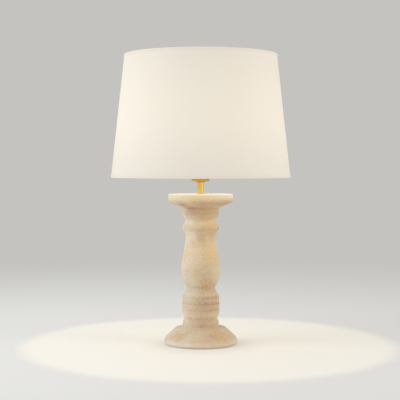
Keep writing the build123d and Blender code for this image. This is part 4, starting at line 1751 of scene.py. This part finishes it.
@dataclass
class Lampholder(SubAssembly):
    """Brass neck and holder, its live parts, its switch and the two rings that hold the shade."""

    cap_corners: tuple[Corner, ...] = (
        (5.1, 320.5, 0.0), (6.65, 320.5, 0.3), (9.4, 321.8, 2.5), (16.7, 323.2, 3.0), (18.0, 325.4, 1.6),
        (18.0, 338.0, 0.3), (17.2, 338.0, 0.0), (17.2, 327.3, 0.0), (6.65, 321.3, 0.0), (5.1, 321.3, 0.0),
    )
    cap_step: float = 0.6
    body_step: float = 3.0
    sides: int = 128
    crease: float = 35.0
    neck_low: float = 331.0
    joint: float = 338.0
    thread_low: float = 352.0
    thread_top: float = 378.0
    neck_radius: float = 17.1
    body_radius: float = 18.0
    thread_radius: float = 19.75
    thread_root: float = 19.15
    thread_pitch: float = 2.0
    liner_seat: float = 17.75
    insert_top: float = 351.0
    insert_bore: float = 15.7
    lip_bore: float = 12.1
    lip: float = 1.4
    edge: float = 0.35
    fillet: float = 0.1
    spindle_level: float = 344.5
    spindle_hole: tuple[Point, ...] = ((2.5, 10.0), (2.5, 24.0))
    ring_radius: float = 27.0
    rib_count: int = 84
    rib: float = 0.42
    rib_clearance: float = 0.3
    lower_flange: Point = (358.8, 361.0)
    clamp_flange: Point = (362.7, 364.9)

    def build(self) -> list[bpy.types.Object]:
        """Make the holder's cap, its threaded body and the ribs of its rings.

        Returns:
            The pieces.
        """
        bars = RingOfRibs(RibShape.BAR)
        return [
            self._cap(),
            self._body(),
            self._thread(),
            self._ribs(bars, "lower_ring_ribs", "base", self.lower_flange),
            self._ribs(bars, "clamp_ring_ribs", "clamp", self.clamp_flange),
        ]

    def _cap(self) -> bpy.types.Object:
        """Turn the holder's cap with its full shoulder."""
        piece = lathe("holder_cap_shell", rounded(self.cap_corners, self.cap_step), even_angles(self.sides))
        return self.complete(piece, SHADED_CAP_BRASS, self.crease, "base", "brass", "holder_cap")

    def _body(self) -> bpy.types.Object:
        """Turn the holder's body with its thread's root, and drill it for the switch.

        Returns:
            The body.
        """
        corners = [
            (self.lip_bore, self.neck_low, 0.0), (self.neck_radius, self.neck_low, self.edge),
            (self.neck_radius, self.joint, 0.0), (self.body_radius, self.joint, self.edge),
            (self.body_radius, self.thread_low, self.fillet), (self.thread_root, self.thread_low, self.edge),
            (self.thread_root, self.thread_top, self.edge), (self.liner_seat, self.thread_top, self.edge),
            (self.liner_seat, self.insert_top, 0.0), (self.insert_bore, self.insert_top, 0.0),
            (self.insert_bore, self.neck_low + self.lip, 0.0), (self.lip_bore, self.neck_low + self.lip, 0.0),
        ]
        piece = lathe("holder_body", rounded(corners, self.body_step), even_angles(self.sides))
        drill(piece, self.spindle_hole, (1, 0, 0), self.spindle_level)
        return self.complete(piece, BRASS, self.crease, "base", "brass", "holder_skirt")

    def _thread(self) -> bpy.types.Object:
        """Cut the thread that the two rings screw on.

        Returns:
            The thread's ridge.
        """
        ridge = self.thread_radius - self.thread_root
        turns = (self.thread_top - self.thread_low - 2 * ridge) / self.thread_pitch
        piece = CutThread().make(
            "holder_thread", BRASS, Radius=self.thread_root * MM, Pitch=self.thread_pitch * MM, Turns=turns,
            Ridge=ridge * MM, Start=(self.thread_low + ridge) * MM,
        )
        return self.settle(piece, "base", "brass")

    def _ribs(self, bars: RingOfRibs, name: str, body: str, flange: Point) -> bpy.types.Object:
        """Set finger ribs round the flange of a ring.

        Args:
            bars: The tree that repeats a bar.
            name: Name of the piece.
            body: Body of the ring.
            flange: Lowest and highest level of the flange.

        Returns:
            The ribs.
        """
        low, high = flange
        piece = bars.make(
            name, BRASS, Count=self.rib_count, Radius=self.ring_radius * MM, Level=(low + high) / 2 * MM,
            First_Angle=0.0, Size=self.rib * MM, Length=(high - low - self.rib_clearance) * MM,
        )
        return self.settle(piece, body, "brass")

    def node_finishes(self) -> dict[str, Finish]:
        """Brass outside, moulded insulation and spring brass within.

        Returns:
            Finishes by node.
        """
        groups = {
            BRASS: ("neck_tube", "lower_ring", "clamp_ring"),
            STEEL: ("cap_bush", "cap_screw", "switch_spindle"),
            DARK_MOULDING: ("holder_insert", "holder_liner", "switch_cam"),
            SPRING_BRASS: ("terminal_screws", "screw_shell", "centre_contact", "shell_contact"),
            KNOB_MOULDING: ("switch_knob",),
        }
        return {node: finish for finish, nodes in groups.items() for node in nodes}


@dataclass
class ScrewBulb(SubAssembly):
    """Screw-in bulb: tip, insulator, threaded cap, white housing and opal globe."""

    cap_low: float = 358.7
    cap_top: float = 381.1
    cap_radius: float = 13.05
    cap_foot: float = 11.0
    cap_wall: float = 0.5
    foot_edge: float = 0.3
    shoulder_edge: float = 0.8
    rim_edge: float = 0.2
    step: float = 0.4
    sides: int = 144
    crease: float = 45.0
    pitch: float = 3.629
    depth: float = 0.5
    run_out: float = 2.4

    def build(self) -> list[bpy.types.Object]:
        """Make the cap with its rolled thread.

        Returns:
            The cap.
        """
        shoulder = self.cap_low + self.cap_radius - self.cap_foot
        bore = self.cap_radius - self.cap_wall
        outer = [
            (0.0, self.cap_low, 0.0), (self.cap_foot, self.cap_low, self.foot_edge),
            (self.cap_radius, shoulder, self.shoulder_edge), (self.cap_radius, self.cap_top, self.rim_edge),
            (bore, self.cap_top, 0.0),
        ]
        inner = [(bore, shoulder + self.cap_wall), (0.0, shoulder + self.cap_wall)]
        outline = spaced([Vector(point) for point in [*rounded(outer, self.step), *inner]], self.step)
        weights = [self._threaded(z) if r > self.cap_radius / 2 else 0.0 for r, z in outline]
        piece = lathe("bulb_screw_cap", outline, even_angles(self.sides), looped=False, weights=weights)
        RolledThread().apply(piece, DRAWN_ALUMINIUM, Pitch=self.pitch * MM, Depth=self.depth * MM)
        smooth(piece, self.crease)
        return [self.settle(piece, "bulb", "bulb_metal", "bulb_cap")]

    def _threaded(self, height: float) -> float:
        """How deep the thread is at a height, as it runs out at both ends.

        Args:
            height: Height of the point.

        Returns:
            Share of the thread's depth.
        """
        from_low = (height - self.cap_low - self.run_out) / self.run_out
        from_top = (self.cap_top - self.run_out / 2 - height) / self.run_out
        return held(min(from_low, from_top))

    def node_finishes(self) -> dict[str, Finish]:
        """Solder tip, dark insulator, white housing and opal globe."""
        return {
            "bulb_tip": STEEL, "bulb_insulator": DARK_MOULDING, "bulb_collar": WHITE_HOUSING,
            "led_board": BOARD, "bulb_diffuser": OPAL,
        }


class Rim(Enum):
    """The two rims of the shade, with the way from the rim into the shade."""

    BOTTOM = 1
    TOP = -1


@dataclass
class DrumShade(SubAssembly):
    """Tapered cloth drum on a lining, with rolled hems, wire rings and a three-armed spider."""

    low: float = SHADE_LOW
    top: float = SHADE_TOP
    low_radius: float = 177.05
    narrowing: float = 26.8
    edge: float = 0.75
    cloth: float = 0.8
    gap: float = 0.15
    lining: float = 0.5
    # Width and length in metres that the cloth is cut to
    flat: Point = (1.094, 0.324)
    sides: int = 240
    crease: float = 35.0
    cloth_step: float = 3.0
    lining_step: float = 12.0
    # The lap, with the points over each of its two edges in shares of the edge's half width
    lap_width: float = 15.0
    lap_height: float = 0.5
    lap_angle: float = 90.0
    lap_slope: float = 0.08
    lap_points: tuple[float, ...] = (-1.5, -1.0, -0.5, 0.0, 0.5, 1.0, 1.5)
    lap_clearance: float = 0.4
    # The rolled hems
    hem_height: float = 5.0
    hem_return: float = 3.4
    hem_cloth: float = 0.6
    hem_proud: float = 0.75
    hem_inside: float = 4.95
    hem_roll: float = 0.9
    hem_soft: float = 0.27
    hem_fold: float = 0.2
    hem_step: float = 0.4
    hem_sides: int = 300
    hem_crease: float = 60.0
    # How far the hems' free edges wander and their faces puff, and how often
    wander: float = 0.3
    wander_scale: float = 14.0
    puff: float = 0.06
    puff_scale: float = 2.3
    puff_sink: float = 0.02
    puff_depth: float = 2.0
    # Spider arms, and the radius, level and size of the welds at their ends
    arms: int = 3
    arm_angle: float = 90.0
    carrier_weld: Place = (31.9, 362.0, 1.9)
    wire_weld: Place = (172.9, 334.4, 1.0)

    @property
    def height(self) -> float:
        """Height from rim to rim."""
        return self.top - self.low

    @property
    def taper(self) -> float:
        """How far the cloth comes in for each unit of height."""
        return self.narrowing / self.height

    def radius(self, height: float) -> float:
        """Outer radius of the cloth at a height."""
        return self.low_radius - self.taper * (height - self.low)

    def build(self) -> list[bpy.types.Object]:
        """Make the cloth, its lining, the rolled hems and the spider's welds.

        Returns:
            The pieces.
        """
        cover, lining = self._cover(), self._lining()
        hems = [self._hem("top_hem_roll", Rim.TOP), self._hem("bottom_hem_roll", Rim.BOTTOM)]
        slant = math.hypot(self.height, self.narrowing) * MM
        girth = math.pi * (self.radius(self.low) + self.radius(self.top)) * MM
        slant * girth
        return [cover, lining, *hems, *self._welds()]

    def _layer(self, outer: float, inner: float, step: float) -> list[Point]:
        """Outline of a layer between two offsets from the cloth's face.

        Args:
            outer: Offset of its outer face.
            inner: Offset of its inner face.
            step: Greatest distance between points.

        Returns:
            Closed outline.
        """
        low, high = self.low + self.edge, self.top - self.edge
        corners = [
            Vector((self.radius(low) + outer, low)), Vector((self.radius(high) + outer, high)),
            Vector((self.radius(high) + inner, high)), Vector((self.radius(low) + inner, low)),
        ]
        return spaced([*corners, corners[0]], step)[:-1]

    def _cover(self) -> bpy.types.Object:
        """Wrap the cloth round, with its lapped seam at the back.

        Returns:
            The cloth.
        """
        middle = math.radians(self.lap_angle)
        half = self.lap_width / 2 / self.radius(self.low + self.height / 2)
        slope = half * self.lap_slope
        fine = [middle + side * half + part * slope for side in (-1, 1) for part in self.lap_points]
        least = slope * self.lap_clearance
        plain = [angle for angle in even_angles(self.sides) if all(abs(angle - line) > least for line in fine)]
        lap_low, lap_high = self.low + self.hem_height + self.gap, self.top - self.hem_height - self.gap

        def lapped(radius: float, height: float, angle: float) -> Point:
            """Raise the outer face over the lap, which fades in its first and last millimetre.

            Args:
                radius: Radius of the point.
                height: Height of the point.
                angle: Angle of the point.

            Returns:
                Its new radius and height.
            """
            if radius < self.radius(height) - self.cloth / 2:
                return radius, height
            across = held(0.5 + (half - abs(angle - middle)) / slope / 2)
            along = held(min(height - lap_low, lap_high - height))
            return radius + across * along * self.lap_height, height

        outline = self._layer(0.0, -self.cloth, self.cloth_step)
        piece = lathe("shade_cloth", outline, sorted(plain + fine), shift=lapped)
        return self.complete(piece, SHADE_CLOTH, self.crease, "shade", "cloth", "shade_cover")

    def _lining(self) -> bpy.types.Object:
        """Make the stiff lining behind the cloth.

        Returns:
            The lining.
        """
        outer = -self.cloth - self.gap
        outline = self._layer(outer, outer - self.lining, self.lining_step)
        piece = lathe("shade_lining", outline, even_angles(self.sides))
        return self.complete(piece, LINING, self.crease, "shade", "lining", "shade_liner")

    def _hem(self, name: str, rim: Rim) -> bpy.types.Object:
        """Roll a strip of cloth round a rim.

        Args:
            name: Name of the piece.
            rim: Which rim.

        Returns:
            The hem.
        """
        edge, node = (self.low, "bottom_hem") if rim is Rim.BOTTOM else (self.top, "top_hem")
        inward = rim.value
        leg, floor, back = (edge + inward * rise for rise in (self.hem_height, self.hem_cloth, self.hem_return))
        inside, behind = self.hem_inside, self.hem_inside + self.hem_cloth
        middle = (self.radius(edge) - inside / 2, edge, 0.0)
        corners = [
            middle, (self.radius(edge) + self.hem_proud, edge, self.hem_roll),
            (self.radius(leg) + self.hem_proud, leg, self.hem_soft),
            (self.radius(leg) + self.gap, leg, self.hem_soft),
            (self.radius(floor) + self.gap, floor, self.hem_fold),
            (self.radius(floor) - inside, floor, self.hem_fold),
            (self.radius(back) - inside, back, self.hem_soft),
            (self.radius(back) - behind, back, self.hem_soft),
            (self.radius(edge) - behind, edge, self.hem_roll), middle,
        ]
        outline = rounded(corners, self.hem_step)[:-1]
        if rim is Rim.TOP:
            outline.reverse()

        def uneven(radius: float, height: float, angle: float) -> Point:
            """Let the hem's free edges wander and its outer face puff a little.

            Args:
                radius: Radius of the point.
                height: Height of the point.
                angle: Angle of the point.

            Returns:
                Its new radius and height.
            """
            share = abs(height - edge) / self.hem_height
            around = Vector((math.cos(angle), math.sin(angle), edge * MM)) * self.wander_scale
            wander = noise.noise(around) * self.wander * share**3 * inward
            outside = radius > self.radius(edge) - self.puff_depth
            puff = noise.noise(around * self.puff_scale) * self.puff if outside else 0.0
            return radius + max(-self.puff_sink, puff), height + wander

        piece = lathe(name, outline, even_angles(self.hem_sides), shift=uneven)
        return self.complete(piece, HEM_CLOTH, self.hem_crease, "shade", "cloth", node)

    def _welds(self) -> list[bpy.types.Object]:
        """Set weld beads where the spider's arms meet the carrier and the lower wire ring.

        Returns:
            The beads at the carrier and those at the wire ring.
        """
        beads = RingOfRibs(RibShape.BEAD)
        made = []
        welds = {"carrier_welds": self.carrier_weld, "wire_ring_welds": self.wire_weld}
        for name, (radius, level, size) in welds.items():
            piece = beads.make(
                name, WIRE_ENAMEL, Count=self.arms, Radius=radius * MM, Level=level * MM,
                First_Angle=math.radians(self.arm_angle), Size=size * MM, Length=0.0,
            )
            made.append(self.settle(piece, "shade", "wire"))
        return made

    def node_finishes(self) -> dict[str, Finish]:
        """White enamel on the wire rings, carrier and arms."""
        return {node: WIRE_ENAMEL for node in ("top_ring", "bottom_ring", "shade_carrier", "spider_arms")}


# Studio


@dataclass(frozen=True)
class SoftLight:
    """A soft studio light, aimed at a point."""

    name: str
    place: Place
    aim: Place
    size: Point
    power: float
    tint: Place

    def hang(self) -> None:
        """Hang the light."""
        data = bpy.data.lights.new(self.name, "AREA")
        data.shape, data.size, data.size_y = "RECTANGLE", *self.size
        data.energy, data.color = self.power, self.tint
        hung = put_in_scene(self.name, data)
        hung.location = self.place
        hung.rotation_euler = (Vector(self.aim) - Vector(self.place)).to_track_quat("-Z", "Y").to_euler()


@dataclass
class Studio:
    """Camera, plain floor, grey surroundings and soft light, in metres."""

    camera_place: Place = (-0.0014, -2.100, 0.359)
    camera_pitch: float = 2.0
    focal: float = 95.4
    sensor: float = 36.0
    floor_reach: float = 30.0
    floor_sides: int = 96
    dome: float = 0.66
    lights: tuple[SoftLight, ...] = (
        SoftLight(
            "key", place=(-1.9, -0.55, 1.15), aim=(0.0, 0.0, 0.28),
            size=(1.3, 1.3), power=13.4, tint=(0.88, 0.945, 1.0),
        ),
        SoftLight(
            "fill", place=(1.9, -0.7, 0.9), aim=(0.0, 0.0, 0.28),
            size=(0.9, 1.2), power=8.0, tint=(1.0, 0.96, 0.90),
        ),
        SoftLight(
            "under_shade", place=(0.0, 0.0, 0.329), aim=(0.0, 0.0, 0.0),
            size=(0.2, 0.2), power=0.037, tint=(1.0, 0.985, 0.96),
        ),
    )

    def build(self) -> None:
        """Set up everything round the lamp."""
        self._camera()
        self._floor()
        self._surroundings()
        for light in self.lights:
            light.hang()
        bpy.context.scene.view_settings.view_transform = "Standard"

    def _camera(self) -> None:
        """Stand the camera where the photograph was taken from."""
        data = bpy.data.cameras.new("camera")
        data.lens, data.sensor_width = self.focal, self.sensor
        stood = put_in_scene("camera", data)
        stood.location = self.camera_place
        stood.rotation_euler = (math.radians(90 - self.camera_pitch), 0.0, 0.0)
        bpy.context.scene.camera = stood

    def _floor(self) -> None:
        """Lay the wide round floor."""
        reach, angles = self.floor_reach, even_angles(self.floor_sides)
        rim = [(reach * math.cos(angle), reach * math.sin(angle), 0.0) for angle in angles]
        mesh = bpy.data.meshes.new("studio_floor")
        mesh.from_pydata(rim, [], [tuple(range(self.floor_sides))])
        mesh.materials.append(FLOOR.material())
        put_in_scene("studio_floor", mesh)

    def _surroundings(self) -> None:
        """Light from all sides, and a grey wall for what sees past the floor."""
        world = bpy.data.worlds.new("surroundings")
        world.use_nodes = True
        bpy.context.scene.world = world
        book = NodeBook(world.node_tree)
        wall = book.node("ShaderNodeBackground", {}, {0: FLOOR.wall, 1: 1.0})
        dome = book.node("ShaderNodeBackground", {}, {0: WHITE, 1: self.dome})
        rays = ("Camera", "Glossy", "Transmission")
        camera, glossy, through = (book.node("ShaderNodeLightPath", output=f"Is {ray} Ray") for ray in rays)
        seen = camera.at_least(glossy).at_least(through)
        both = book.node("ShaderNodeMixShader", {}, {0: seen, 1: dome, 2: wall})
        book.node("ShaderNodeOutputWorld", {}, {"Surface": both})


def main() -> None:
    """Set the studio up, then build and dress each sub-assembly in order."""
    logging.basicConfig(level=logging.INFO, format="%(message)s")
    Studio().build()
    for group in (TurnedColumn(), FootFittings(), Lampholder(), ScrewBulb(), DrumShade()):
        for piece in group.build():
            LOG.info("%s: %s, %d faces", type(group).__name__, piece.name, len(piece.data.polygons))
        group.dress_nodes()
        for node in group.node_finishes():
            LOG.info("%s: %s kept from the solids", type(group).__name__, node)


if __name__ == "__main__":
    main()
